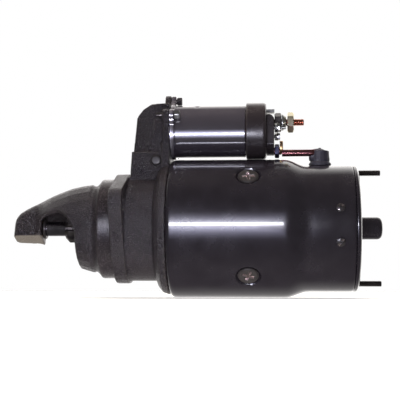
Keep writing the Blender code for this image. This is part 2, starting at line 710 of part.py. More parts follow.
def shift_lever():
    """Wishbone that straddles the collar, with pads in its groove and a slot for the plunger."""
    reach = PIVOT.z
    half = [
        (0.0024, 0.0305), (0.0024, 0.0080), (0.0078, 0.0050), (0.0078, -0.0080),
        (0.0096, -0.0200), (0.0208, -0.0330), (0.0208, -0.0560), (0.0186, -0.0595),
        (0.0176, -0.0595), (0.0176, -0.0350), (0.0040, -0.0150),
    ]
    outline = half + [(-y, z) for y, z in half[::-1]]
    plate = prism(outline, -0.0034, 0.0034)
    boss = prism(circle(0.0065, SMALL), -0.0078, 0.0078, "Y")
    pads = [prism(circle(0.0039, SMALL, (0.0, -reach)), *sorted((s * 0.0126, s * 0.0182)), "Y")
            for s in (-1, 1)]
    body = join(plate, boss, *pads)
    slot = box(-0.0026, 0.0026, -0.01, 0.01, 0.0225, 0.04)
    body = cut(body, prism(circle(LEVER_PIN_R + GAP, SMALL), -0.01, 0.01, "Y"), slot)
    place = Matrix.Translation(PIVOT) @ Matrix.Rotation(LEVER_TILT, 4, "Y")
    return finish("shift_lever", (0.28, 0.27, 0.25), 0.45, 0.9, moved(body, place))


def lever_pin():
    at = (PIVOT.x, PIVOT.z)
    shank = prism(circle(LEVER_PIN_R, SMALL, at), -0.0205, 0.0200, "Y")
    head = prism(circle(LEVER_PIN_HEAD_R, SMALL, at), -0.0202, -0.0176, "Y")
    finish("lever_pin", (0.20, 0.20, 0.21), 0.4, 0.8, join(shank, head))


def plunger():
    """Iron plunger: a body with a bore for its return spring, and a clevis with a cross pin."""
    centre = (0.0, SOLENOID_Z)
    body = turned([
        (0.0400, 0), (0.0400, 0.0095), (0.0410, PLUNGER_R), (0.0760, PLUNGER_R), (0.0764, 0.0103),
        (0.0764, 0.0070), (0.0615, 0.0070), (0.0615, 0),
    ], ROUND, centre)
    cheeks = [box(0.0225, 0.0402, *sorted((s * 0.0034, s * 0.0066)),
                  SOLENOID_Z - 0.0062, SOLENOID_Z + 0.0062) for s in (-1, 1)]
    pin = prism(circle(0.0021, 14, (PIN_X, SOLENOID_Z)), -0.0076, 0.0076, "Y")
    return finish("plunger", (0.42, 0.42, 0.43), 0.3, 1.0, join(body, *cheeks, pin))


def plunger_spring():
    spring = coil_spring(SPRING_X0, SPRING_X1, 0.0056, 0.0006, 6, SOLENOID_Z)
    return finish("plunger_spring", (0.45, 0.45, 0.47), 0.3, 1.0, spring)


def solenoid_case():
    """Drawn steel can with a flange plate that has a lug at each screw."""
    centre = (0.0, SOLENOID_Z)
    can = turned([
        (CASE_X0, 0), (CASE_X0, 0.0210), (CASE_X0 + 0.0010, CASE_R), (CASE_X1, CASE_R),
        (CASE_X1, 0),
    ], FINE, centre)
    seats = [prism(o, CASE_X0, CASE_X0 + CASE_FLANGE - 0.0001 * k)
             for k, o in enumerate(seat_outline(0.0236, 0.0045))]
    hole = rod(0.03, 0.06, 0.0112, ROUND, centre)
    room = rod(CASE_X0 + 0.0035, 0.12, CASE_BORE, FINE, centre)
    holes = [rod(0.03, 0.06, CASE_SCREW_R + GAP, 12, screw_point(k)) for k in range(len(SCREW_ANGLES))]
    body = cut(join(can, *seats), hole, room, *holes)
    finish("solenoid_case", (0.015, 0.015, 0.022), 0.1, 0.0, body)


def solenoid_screws():
    for k in range(len(SCREW_ANGLES)):
        face = CASE_X0 + CASE_FLANGE + GAP
        y, z = screw_point(k)
        head = prism(circle(0.0036, 6, (y, z), SCREW_ANGLES[k] + pi / 6), face, face + 0.0042)
        shank = rod(0.0340, face + 0.001, CASE_SCREW_R, 12, (y, z))
        finish(f"solenoid_screw_{k + 1}", (0.70, 0.70, 0.66), 0.25, 1.0, join(head, shank))


def solenoid_coil():
    ring = turned([
        (COIL_X0, 0.0111), (COIL_X0, 0.0199), (COIL_X0 + 0.0014, 0.0199), (COIL_X0 + 0.0014, 0.0192),
        (COIL_X1 - 0.0015, 0.0192), (COIL_X1 - 0.0015, 0.0199), (COIL_X1, 0.0199), (COIL_X1, 0.0111),
    ], ROUND, (0.0, SOLENOID_Z), closed=True)
    finish("solenoid_coil", (0.50, 0.22, 0.08), 0.4, 0.6, ring)


def solenoid_core():
    """Fixed iron core: a plug inside the coil and a plate behind it, bored for the contact rod."""
    ring = turned([
        (0.0842, 0.0026), (0.0842, 0.0106), (0.0923, 0.0106), (0.0923, 0.0199),
        (0.0970, 0.0199), (0.0970, 0.0026),
    ], ROUND, (0.0, SOLENOID_Z), closed=True)
    finish("solenoid_core", (0.40, 0.40, 0.41), 0.4, 0.9, ring)


def contact():
    """Copper disc on the rod that the plunger pushes."""
    body = turned([
        (0.0669, 0), (0.0669, CONTACT_ROD_R), (0.1060, CONTACT_ROD_R), (0.1060, 0.0105), (0.1078, 0.0105),
        (0.1078, 0),
    ], ROUND, (0.0, SOLENOID_Z))
    return finish("contact_disc", (0.75, 0.36, 0.18), 0.3, 1.0, body)


def solenoid_cap():
    """Moulded cap with a contact chamber and a raised terminal block."""
    centre = (0.0, SOLENOID_Z)
    x0 = CASE_X1 + GAP
    cup = turned([
        (x0, 0.0196), (x0, CAP_R - 0.0008), (x0 + 0.0006, CAP_R), (CAP_X1 - 0.0022, CAP_R),
        (CAP_X1 - 0.0006, CAP_R - 0.0007), (CAP_X1, CAP_R - 0.0025), (CAP_X1, 0),
        (CHAMBER_END, 0), (CHAMBER_END, 0.0196),
    ], FINE, centre, closed=True)
    z0, z1 = 0.0560, 0.0930
    corner = 0.0030
    side = [(0.1180, z0 + 0.004), (CAP_BOSS_X - 0.0006, z0 + 0.004), (CAP_BOSS_X, z0 + 0.005)]
    side += [(CAP_BOSS_X, z1 - corner), (CAP_BOSS_X - 0.4 * corner, z1 - 0.4 * corner)]
    side += [(CAP_BOSS_X - corner, z1), (0.1180, z1)]
    block = prism(side, -0.0160, 0.0140, "Y")
    rim = rod(0.1175, 0.1320, CAP_R - 0.0030, FINE, centre)
    holes = [rod(0.11, 0.14, TERMINAL_R + GAP, SMALL, (0.0, z)) for z in (BATTERY_Z, MOTOR_Z)]
    holes += [rod(0.11, 0.14, SMALL_TERMINAL_R + GAP, 12, at) for at in (SWITCH_AT, RELAY_AT)]
    holes.append(box(0.1210, 0.1310, -0.0045, 0.0045, 0.0959, 0.0993))
    body = join(cup, keep(block, rim))
    finish("solenoid_cap", (0.03, 0.028, 0.03), 0.45, 0.0, cut(body, *holes))


def terminal_stud(name, z, end, head, colour, chamfer):
    """Terminal bolt with its contact head inside the cap."""
    shank = rod(0.1155, end, TERMINAL_R, SMALL, (0.0, z), chamfer)
    return finish(name, colour, 0.25, 1.0, join(shank, head))


def nut(name, flats, low, high, z, colour):
    """Hexagon nut on a terminal stud, with its corners turned off at both ends."""
    bevel = 0.0007
    blank = prism(hexagon(flats, (0.0, z)), low, high)
    far = flats / sqrt(3)
    crown = turned([
        (low - bevel, 0), (low - bevel, far - 2 * bevel), (low + bevel, far),
        (low + bevel, far * 1.05), (high - bevel, far * 1.05), (high - bevel, far),
        (high + bevel, far - 2 * bevel), (high + bevel, 0),
    ], ROUND, (0.0, z))
    bore = rod(low - 0.01, high + 0.01, TERMINAL_R + GAP, SMALL, (0.0, z))
    finish(name, colour, 0.3, 1.0, cut(keep(blank, crown), bore))


def terminals():
    x0 = CAP_BOSS_X + GAP
    copper, dark = (0.62, 0.20, 0.11), (0.12, 0.12, 0.14)
    head = rod(CONTACT_X, CHAMBER_END - GAP, 0.0062, SMALL, (0.0, BATTERY_Z))
    terminal_stud("battery_stud", BATTERY_Z, 0.1550, head, copper, 0.0008)
    shoe = box(CONTACT_X, CHAMBER_END - GAP, -0.0045, 0.0045, 0.0632, 0.0735)
    terminal_stud("motor_stud", MOTOR_Z, 0.1362, shoe, copper, 0.0005)

    nut("battery_inner_nut", 0.0140, x0, 0.1364, BATTERY_Z, dark)
    washer = turned([
        (0.1367, 0.0034), (0.1367, 0.0068), (0.1376, 0.0068), (0.1402, 0.0048),
        (0.1402, 0.0034),
    ], SMALL, (0.0, BATTERY_Z), closed=True)
    finish("battery_washer", (0.25, 0.24, 0.22), 0.35, 1.0, washer)
    nut("battery_outer_nut", 0.0148, 0.1413, 0.1466, BATTERY_Z, (0.80, 0.68, 0.30))
    nut("motor_nut", 0.0102, x0, 0.1345, MOTOR_Z, (0.10, 0.11, 0.17))

    for name, at, end, flats in (
        ("switch_terminal", SWITCH_AT, 0.1400, 0.0068), ("relay_terminal", RELAY_AT, 0.1352, 0.0058),
    ):
        pin = rod(0.1190, end, SMALL_TERMINAL_R, 12, at)
        first = prism(hexagon(flats, at), x0, x0 + 0.0022)
        disc = rod(x0 + 0.0019, x0 + 0.0029, flats * 0.60, SMALL, at)
        second = prism(hexagon(flats * 0.9, at, 0.3), x0 + 0.0026, x0 + 0.0046)
        finish(name, (0.45, 0.45, 0.46), 0.3, 1.0, join(pin, first, disc, second))


def cap_tab():
    """Flat blade that stands out of the cap's top edge."""
    blade = box(0.1213, 0.1306, -0.0042, 0.0042, 0.0962, 0.0990)
    finish("cap_tab", (0.60, 0.60, 0.58), 0.3, 1.0, blade)


def swept(points, r, sides=10):
    """Tube of radius r along points that lie in an XZ plane."""
    rows = np.array(points)
    ahead = np.gradient(rows, axis=0)
    ahead /= np.linalg.norm(ahead, axis=1)[:, None]
    across = np.array([0.0, 1.0, 0.0])
    verts = []
    for p, t in zip(rows, ahead):
        up = np.cross(t, across)
        for k in range(sides):
            a = 2 * pi * k / sides
            verts.append(p + r * (cos(a) * across + sin(a) * up))
    last = (len(rows) - 1) * sides
    faces = [list(range(sides)), list(range(last, last + sides))]
    for i in range(len(rows) - 1):
        for k in range(sides):
            n = (k + 1) % sides
            faces.append([i * sides + k, i * sides + n, (i + 1) * sides + n, (i + 1) * sides + k])
    return mesh_of(verts, faces)


def lead_path(start, end_z):
    """Straight run back from the lug, then a quarter bend down into the frame."""
    bend = 0.0060
    points = [(x, ROD_Y, ROD_Z) for x in (start, start + 0.0008, LEAD_X - bend - 0.004)]
    for k in range(7):
        a = pi / 2 * k / 6
        x = LEAD_X - bend + bend * sin(a)
        points.append((x, ROD_Y + (0 - ROD_Y) * k / 6, ROD_Z - bend + bend * cos(a)))
    points.append((LEAD_X, 0.0, end_z))
    return points


def field_lead():
    """Copper ring lug and rod from the motor terminal to the field coils."""
    at = (0.0, MOTOR_Z)
    lug = prism(circle(0.0056, SMALL, at), 0.1349, 0.1376)
    run = swept(lead_path(0.1367, 0.0490), ROD_R)
    body = cut(join(lug, run), rod(0.13, 0.1366, TERMINAL_R + GAP, SMALL, at))
    finish("field_lead", (0.60, 0.24, 0.14), 0.28, 1.0, body)


def lead_boot():
    """Rubber elbow over the lead where it enters the frame, with a flared foot."""
    knee = turned([
        (0.1590, 0), (0.1590, 0.0040), (0.1606, 0.0052), (0.1660, 0.0060), (0.1700, 0.0056),
        (0.1733, 0.0040), (0.1745, 0),
    ], 16, (-0.0008, 0.0603))
    neck = []
    for r, z in ((0.0076, 0.0640), (0.0078, 0.0600), (0.0082, 0.0562), (0.0078, 0.0556),
                 (0.0078, 0.0550), (0.0090, 0.0540), (0.0098, 0.0510)):
        neck.append((-z, r))
    stand = Matrix.Translation((LEAD_X, -0.0004, 0)) @ Matrix.Rotation(pi / 2, 4, "Y")
    post = turned([(neck[0][0] - 0.0012, 0), *neck, (neck[-1][0], 0)], 16)
    nub = prism(circle(0.0011, 8, (LEAD_X, -0.0004)), 0.0640, 0.0668, "Z")
    body = join(moved(post, stand), knee, nub)
    clear = rod(0.10, 0.22, REAR_R + GAP, 80)
    body = cut(body, clear, swept(lead_path(0.1500, 0.0470), ROD_R + 0.0003, 10))
    finish("lead_boot", (0.03, 0.03, 0.04), 0.65, 0.0, body)


def pivot(name, place):
    """Empty that marks a joint's axis; the pieces that move with it are its children."""
    mark = bpy.data.objects.new(name, None)
    bpy.context.scene.collection.objects.link(mark)
    mark.location = place
    return mark


def hang(mark, pieces, parent=None):
    """Parent pieces to an axis without moving them."""
    if parent:
        mark.parent = parent
        mark.location = mark.location - parent.location
    bpy.context.view_layer.update()
    for piece in pieces:
        piece.parent = mark
        piece.matrix_parent_inverse = mark.matrix_world.inverted()


def main():
    clear_scene()
    drive_housing()
    nose_bushing()
    field_frame()
    pole_shoes()
    field_coils()
    pole_screws()
    commutator_end_frame()
    rear_bushing()
    through_bolts()
    brush_plate()
    brushes()
    brush_screws()
    solenoid_case()
    solenoid_screws()
    solenoid_coil()
    solenoid_core()
    solenoid_cap()
    terminals()
    cap_tab()
    field_lead()
    lead_boot()
    lever_pin()
    armature_axis = pivot("armature_axis", (0.0, 0.0, 0.0))
    rotor = [armature_shaft(), armature_core(), armature_winding(), commutator(), pinion_stop()]
    hang(armature_axis, rotor)
    drive_axis = pivot("drive_axis", (0.0, 0.0, 0.0))
    drive = [drive_clutch(), shift_collar(), collar_snap_ring(), drive_spring(), pinion()]
    hang(drive_axis, drive, armature_axis)
    hang(pivot("lever_axis", PIVOT), [shift_lever()])
    slide_axis = pivot("plunger_axis", (0.0, 0.0, SOLENOID_Z))
    hang(slide_axis, [plunger(), plunger_spring(), contact()])


main()
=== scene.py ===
# %% [markdown]
# # A starter motor, seen from its side
# This lesson dresses a finished CAD model of an engine starter motor. The CAD parts hold
# every size, so each visible piece here takes its place from them, and only its surface
# gets finer: round parts become truly round, castings get soft edges, threads get threads.

import json
from math import cos, pi, radians, sin

import bmesh
import bpy
import numpy as np
from mathutils import Euler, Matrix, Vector


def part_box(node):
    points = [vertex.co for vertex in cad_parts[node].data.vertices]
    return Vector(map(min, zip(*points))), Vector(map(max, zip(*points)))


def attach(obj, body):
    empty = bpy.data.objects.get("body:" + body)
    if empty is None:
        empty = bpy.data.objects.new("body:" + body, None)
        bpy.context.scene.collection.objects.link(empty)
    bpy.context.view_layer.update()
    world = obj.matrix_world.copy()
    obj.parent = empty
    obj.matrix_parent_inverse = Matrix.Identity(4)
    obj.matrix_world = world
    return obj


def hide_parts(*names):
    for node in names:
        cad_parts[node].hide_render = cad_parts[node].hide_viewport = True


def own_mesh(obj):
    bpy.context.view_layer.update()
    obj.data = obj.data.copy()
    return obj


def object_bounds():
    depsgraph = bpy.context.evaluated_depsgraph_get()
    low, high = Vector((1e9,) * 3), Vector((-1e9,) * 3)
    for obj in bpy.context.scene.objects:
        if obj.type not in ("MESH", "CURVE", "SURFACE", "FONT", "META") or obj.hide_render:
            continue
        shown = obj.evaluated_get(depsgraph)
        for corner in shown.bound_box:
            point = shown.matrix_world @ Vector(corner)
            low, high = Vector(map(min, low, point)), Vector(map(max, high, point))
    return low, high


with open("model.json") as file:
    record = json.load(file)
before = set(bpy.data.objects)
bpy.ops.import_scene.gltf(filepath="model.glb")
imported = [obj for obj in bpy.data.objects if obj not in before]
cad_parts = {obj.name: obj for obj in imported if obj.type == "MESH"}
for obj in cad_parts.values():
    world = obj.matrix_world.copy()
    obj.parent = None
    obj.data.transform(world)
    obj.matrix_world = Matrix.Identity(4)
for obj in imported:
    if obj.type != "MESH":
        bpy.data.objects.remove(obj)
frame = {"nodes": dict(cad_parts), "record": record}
nodes = frame["nodes"]
cad_low, cad_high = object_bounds()
print("CAD box in mm:", [round(1000 * v, 1) for v in (*cad_low, *cad_high)])

# %% [markdown]
# ## The camera
# The motor is seen from its side, from just below the height of its shaft, with the rear
# end turned a little towards the viewer. A long lens keeps the round ends from bulging.

# %% Camera
camera = bpy.data.objects.new("camera", bpy.data.cameras.new("camera"))
bpy.context.scene.collection.objects.link(camera)
camera.location = (0.1320, -0.850, -0.0460)
yaw, pitch, roll = radians(-4.28), radians(4.69), radians(0.08)
turn = Euler((pi / 2 + pitch, 0.0, -yaw), "XYZ").to_matrix()
camera.rotation_euler = (turn @ Euler((0, 0, roll)).to_matrix()).to_euler()
camera.data.sensor_width = 36
camera.data.lens = 92.3
camera.data.clip_start = 0.05
bpy.context.scene.camera = camera
print("lens", camera.data.lens, "mm")

# %% [markdown]
# ## Surfaces from grids
# Almost every metal piece was turned on a lathe or pressed from bar, so one idea makes
# them all: a grid of points, whose rows run along the piece and whose columns run round
# it. Working out the whole grid at once keeps the sums short.


# %% Grid to closed shell
def shell(grid, ring=False):
    """Quads between neighbouring points of a (rows, columns, 3) grid whose columns wrap round.

    With ring the rows wrap too; without it one pole point closes each end row.
    """
    rows, cols = grid.shape[:2]
    index = np.arange(rows * cols).reshape(rows, cols)
    low = index if ring else index[:-1]
    high = np.roll(index, -1, 0) if ring else index[1:]
    quads = np.stack([low, np.roll(low, -1, 1), np.roll(high, -1, 1), high], -1)
    quads = quads.reshape(-1, 4)
    tris = np.empty((0, 3), int)
    verts = grid.reshape(-1, 3)
    if not ring:
        first, last, n = index[0], index[-1], rows * cols
        verts = np.vstack([verts, grid[0].mean(0), grid[-1].mean(0)])
        tris = np.vstack([
            np.stack([np.roll(first, -1), first, np.full(cols, n)], -1),
            np.stack([last, np.roll(last, -1), np.full(cols, n + 1)], -1),
        ])
    return verts, quads, tris


def piece(name, shells, look, body, slot, *stands_for, sharp=35, bare_metal_and_highlight=None):
    """One object from closed shells, riding on a body and standing for CAD nodes."""
    verts = np.vstack([points for points, _, _ in shells])
    faces, start = [], 0
    for points, quads, tris in shells:
        faces += (quads + start).tolist() + (tris + start).tolist()
        start += len(points)
    mesh = bpy.data.meshes.new(name)
    mesh.from_pydata(verts.tolist(), [], faces)
    if bare_metal_and_highlight is not None:
        mark = mesh.attributes.new("bare_metal_and_highlight", "FLOAT", "POINT")
        mark.data.foreach_set("value", np.resize(bare_metal_and_highlight, len(verts)).astype(np.float32))
    return settle(name, mesh, look, body, stands_for, sharp)


def settle(name, mesh, look, body, stands_for=(), sharp=35):
    """Turn a mesh's faces outwards, shade it, and hang it on its body."""
    bm = bmesh.new()
    bm.from_mesh(mesh)
    bmesh.ops.recalc_face_normals(bm, faces=bm.faces)
    bm.to_mesh(mesh)
    bm.free()
    mesh.shade_smooth()
    mesh.set_sharp_from_angle(angle=radians(sharp))
    mesh.materials.clear()
    mesh.materials.append(look)
    thing = bpy.data.objects.new(name, mesh)
    bpy.context.scene.collection.objects.link(thing)
    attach(thing, body)
    if stands_for:
        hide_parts(*stands_for)
    print(f"{name}: {len(mesh.polygons)} faces")
    return thing


# %% Profiles
def fillet(points, radius, steps=4):
    """Round each inner corner of a polyline.

    The corner P is cut back by d towards both neighbours, and a quadratic curve
    (1-t)^2 A + 2t(1-t) P + t^2 B joins the two ends; d is at most 45% of a side.
    """
    p = np.array(points, float)
    before, corner, after = p[:-2], p[1:-1], p[2:]
    to_a, to_b = before - corner, after - corner
    length_a = np.linalg.norm(to_a, axis=1, keepdims=True)
    length_b = np.linalg.norm(to_b, axis=1, keepdims=True)
    a = corner + to_a / length_a * np.minimum(radius, 0.45 * length_a)
    b = corner + to_b / length_b * np.minimum(radius, 0.45 * length_b)
    t = np.linspace(0, 1, steps + 1)[None, :, None]
    arcs = (1 - t) ** 2 * a[:, None] + 2 * t * (1 - t) * corner[:, None] + t**2 * b[:, None]
    return np.vstack([p[:1], arcs.reshape(-1, 2), p[-1:]])


def turned(x, r, centre=(0.0, 0.0)):
    """Grid of (x, centre + r cos a, centre + r sin a), with a even over the columns of r."""
    a = np.linspace(0, 2 * pi, r.shape[1], endpoint=False)
    return np.stack([x + 0 * r, centre[0] + r * np.cos(a), centre[1] + r * np.sin(a)], -1)


def spin(profile, sides, centre=(0.0, 0.0)):
    """Grid of a profile of (x, radius) rows turned about a line along X through (y, z)."""
    x, r = np.array(profile, float).T[:, :, None]
    return turned(x, np.repeat(r, sides, axis=1), centre)


def smoothstep(low, high, value):
    """0 below low, 1 above high, and 3t^2 - 2t^3 between."""
    t = np.clip((value - low) / (high - low), 0, 1)
    return t * t * (3 - 2 * t)


def middle(node):
    """Centre of a CAD node, as (y, z)."""
    low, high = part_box(node)
    return (low.y + high.y) / 2, (low.z + high.z) / 2


POINT = 0.0001  # radius in metres of a row that closes on its axis
print("points on a corner:", len(fillet([(0, 0), (1, 0), (1, 1)], 0.2)) - 2)

# %% [markdown]
# ## Finishes
# A finish is a recipe of nodes. What several finishes share, such as the grain of a sand
# casting, the fine circles a lathe leaves and the worn edge of a painted part, is made
# once as a node group and placed in each material with its own values.


# %% Node helpers
def new_group(name, inputs, outputs):
    """Empty shader node group with float and vector sockets."""
    group = bpy.data.node_groups.new(name, "ShaderNodeTree")
    for label, kind, value in inputs:
        made = group.interface.new_socket(label, in_out="INPUT", socket_type=kind)
        if value is not None:
            made.default_value = value
    for label in outputs:
        group.interface.new_socket(label, in_out="OUTPUT", socket_type="NodeSocketFloat")
    return group, group.nodes.new("NodeGroupInput"), group.nodes.new("NodeGroupOutput")


def maths(tree, kind, a, b=None, clamp=False):
    """Math node fed by sockets or plain numbers; gives its output socket."""
    node = tree.nodes.new("ShaderNodeMath")
    node.operation = kind
    node.use_clamp = clamp
    for socket, value in zip(node.inputs, (a, b)):
        if isinstance(value, (int, float)):
            socket.default_value = value
        elif value is not None:
            tree.links.new(value, socket)
    return node.outputs[0]


def noise(tree, vector, scale, detail=2.0):
    """Noise texture's value, 0 to 1; scale is a number or a socket."""
    node = tree.nodes.new("ShaderNodeTexNoise")
    node.inputs["Detail"].default_value = detail
    tree.links.new(vector, node.inputs["Vector"])
    if isinstance(scale, (int, float)):
        node.inputs["Scale"].default_value = scale
    else:
        tree.links.new(scale, node.inputs["Scale"])
    return node.outputs["Fac"]


def spread(tree, value, low, high):
    """Stretch low..high of a value over 0..1, clamped."""
    node = tree.nodes.new("ShaderNodeMapRange")
    node.inputs["From Min"].default_value = low
    node.inputs["From Max"].default_value = high
    tree.links.new(value, node.inputs["Value"])
    return node.outputs["Result"]


FLOAT, VECTOR = "NodeSocketFloat", "NodeSocketVector"

# %% Shared effects
grain, g_in, g_out = new_group(
    "casting_grain",
    [("Vector", VECTOR, None), ("Coarse", FLOAT, 500.0), ("Fine", FLOAT, 1500.0)],
    ["Height", "Patches", "Specks"],
)
coarse = noise(grain, g_in.outputs["Vector"], g_in.outputs["Coarse"], 2)
fine = noise(grain, g_in.outputs["Vector"], g_in.outputs["Fine"], 1)
bumps = [maths(grain, "MULTIPLY", coarse, 0.65), maths(grain, "MULTIPLY", fine, 0.35)]
grain.links.new(maths(grain, "ADD", *bumps), g_out.inputs["Height"])
patches = noise(grain, g_in.outputs["Vector"], 60.0, 3)
grain.links.new(spread(grain, patches, 0.35, 0.65), g_out.inputs["Patches"])
grain.links.new(spread(grain, coarse, 0.52, 0.66), g_out.inputs["Specks"])

lathe, l_in, l_out = new_group(
    "lathe_marks", [("Vector", VECTOR, None), ("Pitch", FLOAT, 9000.0)], ["Height", "Streaks"]
)
squeeze = lathe.nodes.new("ShaderNodeVectorMath")
squeeze.operation = "MULTIPLY"
squeeze.inputs[1].default_value = (1.0, 0.02, 0.02)
lathe.links.new(l_in.outputs["Vector"], squeeze.inputs[0])
rings = noise(lathe, squeeze.outputs[0], l_in.outputs["Pitch"], 1)
lathe.links.new(rings, l_out.inputs["Height"])
streaks = noise(lathe, l_in.outputs["Vector"], 120.0, 4)
lathe.links.new(spread(lathe, streaks, 0.3, 0.7), l_out.inputs["Streaks"])

worn, w_in, w_out = new_group(
    "worn_edge",
    [("Vector", VECTOR, None), ("Edge", FLOAT, 0.0), ("Amount", FLOAT, 1.0)],
    ["Mask"],
)
broken = spread(worn, noise(worn, w_in.outputs["Vector"], 220.0, 4), 0.35, 0.65)
wear_and_painted_highlight = maths(worn, "MULTIPLY", w_in.outputs["Edge"], broken)
worn.links.new(maths(worn, "MULTIPLY", wear_and_painted_highlight, w_in.outputs["Amount"], True), w_out.inputs["Mask"])
print("groups:", [g.name for g in bpy.data.node_groups])


# %% One finish
def finish(name, colour, second, rough, metal=0.0, coat=0.0, effect="casting_grain",
           sizes=(500.0, 1500.0), bump=0.1, depth=0.0002, vary=0.12, edge=None, bare_metal_and_highlight=None,
           coat_ior=1.5, wave=0.0, specks=None, planed=None, lighter_nose_patch=None):
    """Material with patches of a second colour, grain or lathe marks, and worn or bare places.

    rough varies by vary over the patches. wave adds slow swells to the bump. edge is the
    colour of worn edges, read from the 'edge' attribute; bare_metal_and_highlight is the (colour,
    roughness) of the places its attribute marks: unpainted metal, and a painted highlight on the
    flange plate's rim. specks is the colour of the grain's high points. planed is the (low, high)
    range of X in metres where a cutter has taken the grain away. lighter_nose_patch is (highest x,
    highest z, colour) of a lighter patch on the nose's lower facet.
    """
    look = bpy.data.materials.new(name)
    look.use_nodes = True
    tree = look.node_tree
    shader = tree.nodes["Principled BSDF"]
    shader.inputs["Coat Weight"].default_value = coat
    shader.inputs["Coat Roughness"].default_value = 0.06
    shader.inputs["Coat IOR"].default_value = coat_ior
    shader.inputs["Metallic"].default_value = metal
    place = tree.nodes.new("ShaderNodeTexCoord").outputs["Object"]
    group = tree.nodes.new("ShaderNodeGroup")
    group.node_tree = bpy.data.node_groups[effect]
    tree.links.new(place, group.inputs["Vector"])
    group.inputs[1].default_value = sizes[0]
    if effect == "casting_grain":
        group.inputs[2].default_value = sizes[1]
    mask = group.outputs[1]

    def blend(amount, a, b):
        """Colour a where amount is 0 and b where it is 1."""
        mix = tree.nodes.new("ShaderNodeMix")
        mix.data_type = "RGBA"
        tree.links.new(amount, mix.inputs["Factor"])
        for socket, value in ((mix.inputs["A"], a), (mix.inputs["B"], b)):
            if isinstance(value, tuple):
                socket.default_value = (*value, 1.0)
            else:
                tree.links.new(value, socket)
        return mix.outputs["Result"]

    colour_out = blend(mask, colour, second)
    rough_out = maths(tree, "ADD", maths(tree, "MULTIPLY", mask, vary), rough - vary / 2)
    if specks:
        colour_out = blend(group.outputs["Specks"], colour_out, specks)
    if lighter_nose_patch or planed:
        split = tree.nodes.new("ShaderNodeSeparateXYZ")
        tree.links.new(place, split.inputs[0])
        x, z = split.outputs["X"], split.outputs["Z"]
    # A lighter grey-brown colour on the nose's lower facet, below the given x and z.
    if lighter_nose_patch:
        underneath = maths(tree, "MULTIPLY", maths(tree, "LESS_THAN", x, lighter_nose_patch[0]),
                       maths(tree, "LESS_THAN", z, lighter_nose_patch[1]))
        colour_out = blend(underneath, colour_out, lighter_nose_patch[2])
    if edge:
        mark = tree.nodes.new("ShaderNodeAttribute")
        mark.attribute_name = "edge"
        wear = tree.nodes.new("ShaderNodeGroup")
        wear.node_tree = worn
        tree.links.new(place, wear.inputs["Vector"])
        tree.links.new(mark.outputs["Fac"], wear.inputs["Edge"])
        colour_out = blend(wear.outputs["Mask"], colour_out, edge)
    # Marked places take a metal colour: unpainted metal in screw recesses and slots, and a painted
    # highlight on the flange plate's near rim.
    if bare_metal_and_highlight:
        mark = tree.nodes.new("ShaderNodeAttribute")
        mark.attribute_name = "bare_metal_and_highlight"
        colour_out = blend(mark.outputs["Fac"], colour_out, bare_metal_and_highlight[0])
        change = maths(tree, "MULTIPLY", mark.outputs["Fac"], bare_metal_and_highlight[1] - rough)
        rough_out = maths(tree, "ADD", rough_out, change, True)
        tree.links.new(mark.outputs["Fac"], shader.inputs["Metallic"])
    tree.links.new(colour_out, shader.inputs["Base Color"])
    tree.links.new(rough_out, shader.inputs["Roughness"])
    node = tree.nodes.new("ShaderNodeBump")
    node.inputs["Strength"].default_value = bump
    node.inputs["Distance"].default_value = depth
    height = group.outputs["Height"]
    if planed:
        inside = maths(tree, "MULTIPLY", maths(tree, "GREATER_THAN", x, planed[0]),
                       maths(tree, "LESS_THAN", x, planed[1]))
        kept = maths(tree, "SUBTRACT", 1.0, maths(tree, "MULTIPLY", inside, 0.85))
        height = maths(tree, "MULTIPLY", height, kept)
        rough_out = maths(tree, "SUBTRACT", rough_out, maths(tree, "MULTIPLY", inside, 0.08))
        tree.links.new(rough_out, shader.inputs["Roughness"])
    if wave:
        swell = maths(tree, "MULTIPLY", noise(tree, place, 28.0, 1), wave)
        height = maths(tree, "ADD", height, swell)
    tree.links.new(height, node.inputs["Height"])
    tree.links.new(node.outputs["Normal"], shader.inputs["Normal"])
    return look


# %% The palette
# The nose's lower facet, below x -61 mm and z -5.8 mm, is a lighter grey-brown.
cast_black = finish("cast_black_paint", (0.024, 0.020, 0.025), (0.036, 0.031, 0.035), 0.33,
                    sizes=(900, 2200), bump=1.0, depth=0.0019, edge=(0.085, 0.072, 0.068),
                    specks=(0.072, 0.060, 0.072), planed=(-0.0119, 0.0002),
                    lighter_nose_patch=(-0.0610, -0.0058, (0.20, 0.175, 0.15)))
frame_black = finish("gloss_black_paint", (0.017, 0.0138, 0.020), (0.022, 0.0185, 0.026), 0.25,
                     coat=0.7, sizes=(260, 900), bump=0.12, depth=0.0002, vary=0.06, wave=2.5)
# Its light metal colour is used only on the flange plate's near front rim, as a painted highlight.
case_black = finish("can_black_gloss", (0.056, 0.048, 0.066), (0.066, 0.057, 0.077), 0.24,
                    coat=1.0, sizes=(200, 700), bump=0.08, depth=0.00015, vary=0.04, coat_ior=2.3,
                    bare_metal_and_highlight=((0.60, 0.58, 0.66), 0.25))
cap_black = finish("moulded_black", (0.036, 0.029, 0.034), (0.046, 0.038, 0.042), 0.30,
                   sizes=(1400, 3600), bump=0.2, depth=0.0001, edge=(0.15, 0.13, 0.12))
rubber_black = finish("rubber", (0.046, 0.045, 0.064), (0.062, 0.060, 0.080), 0.58,
                      sizes=(1100, 3000), bump=0.3, depth=0.0001)
screw_black = finish("painted_screw", (0.030, 0.027, 0.030), (0.042, 0.037, 0.038), 0.34,
                     sizes=(900, 2500), bump=0.3, bare_metal_and_highlight=((0.80, 0.68, 0.66), 0.24))
dark_steel = finish("dark_steel", (0.10, 0.09, 0.09), (0.17, 0.155, 0.15), 0.34, metal=0.9,
                    effect="lathe_marks", sizes=(7000,), bump=0.15, depth=0.0001)
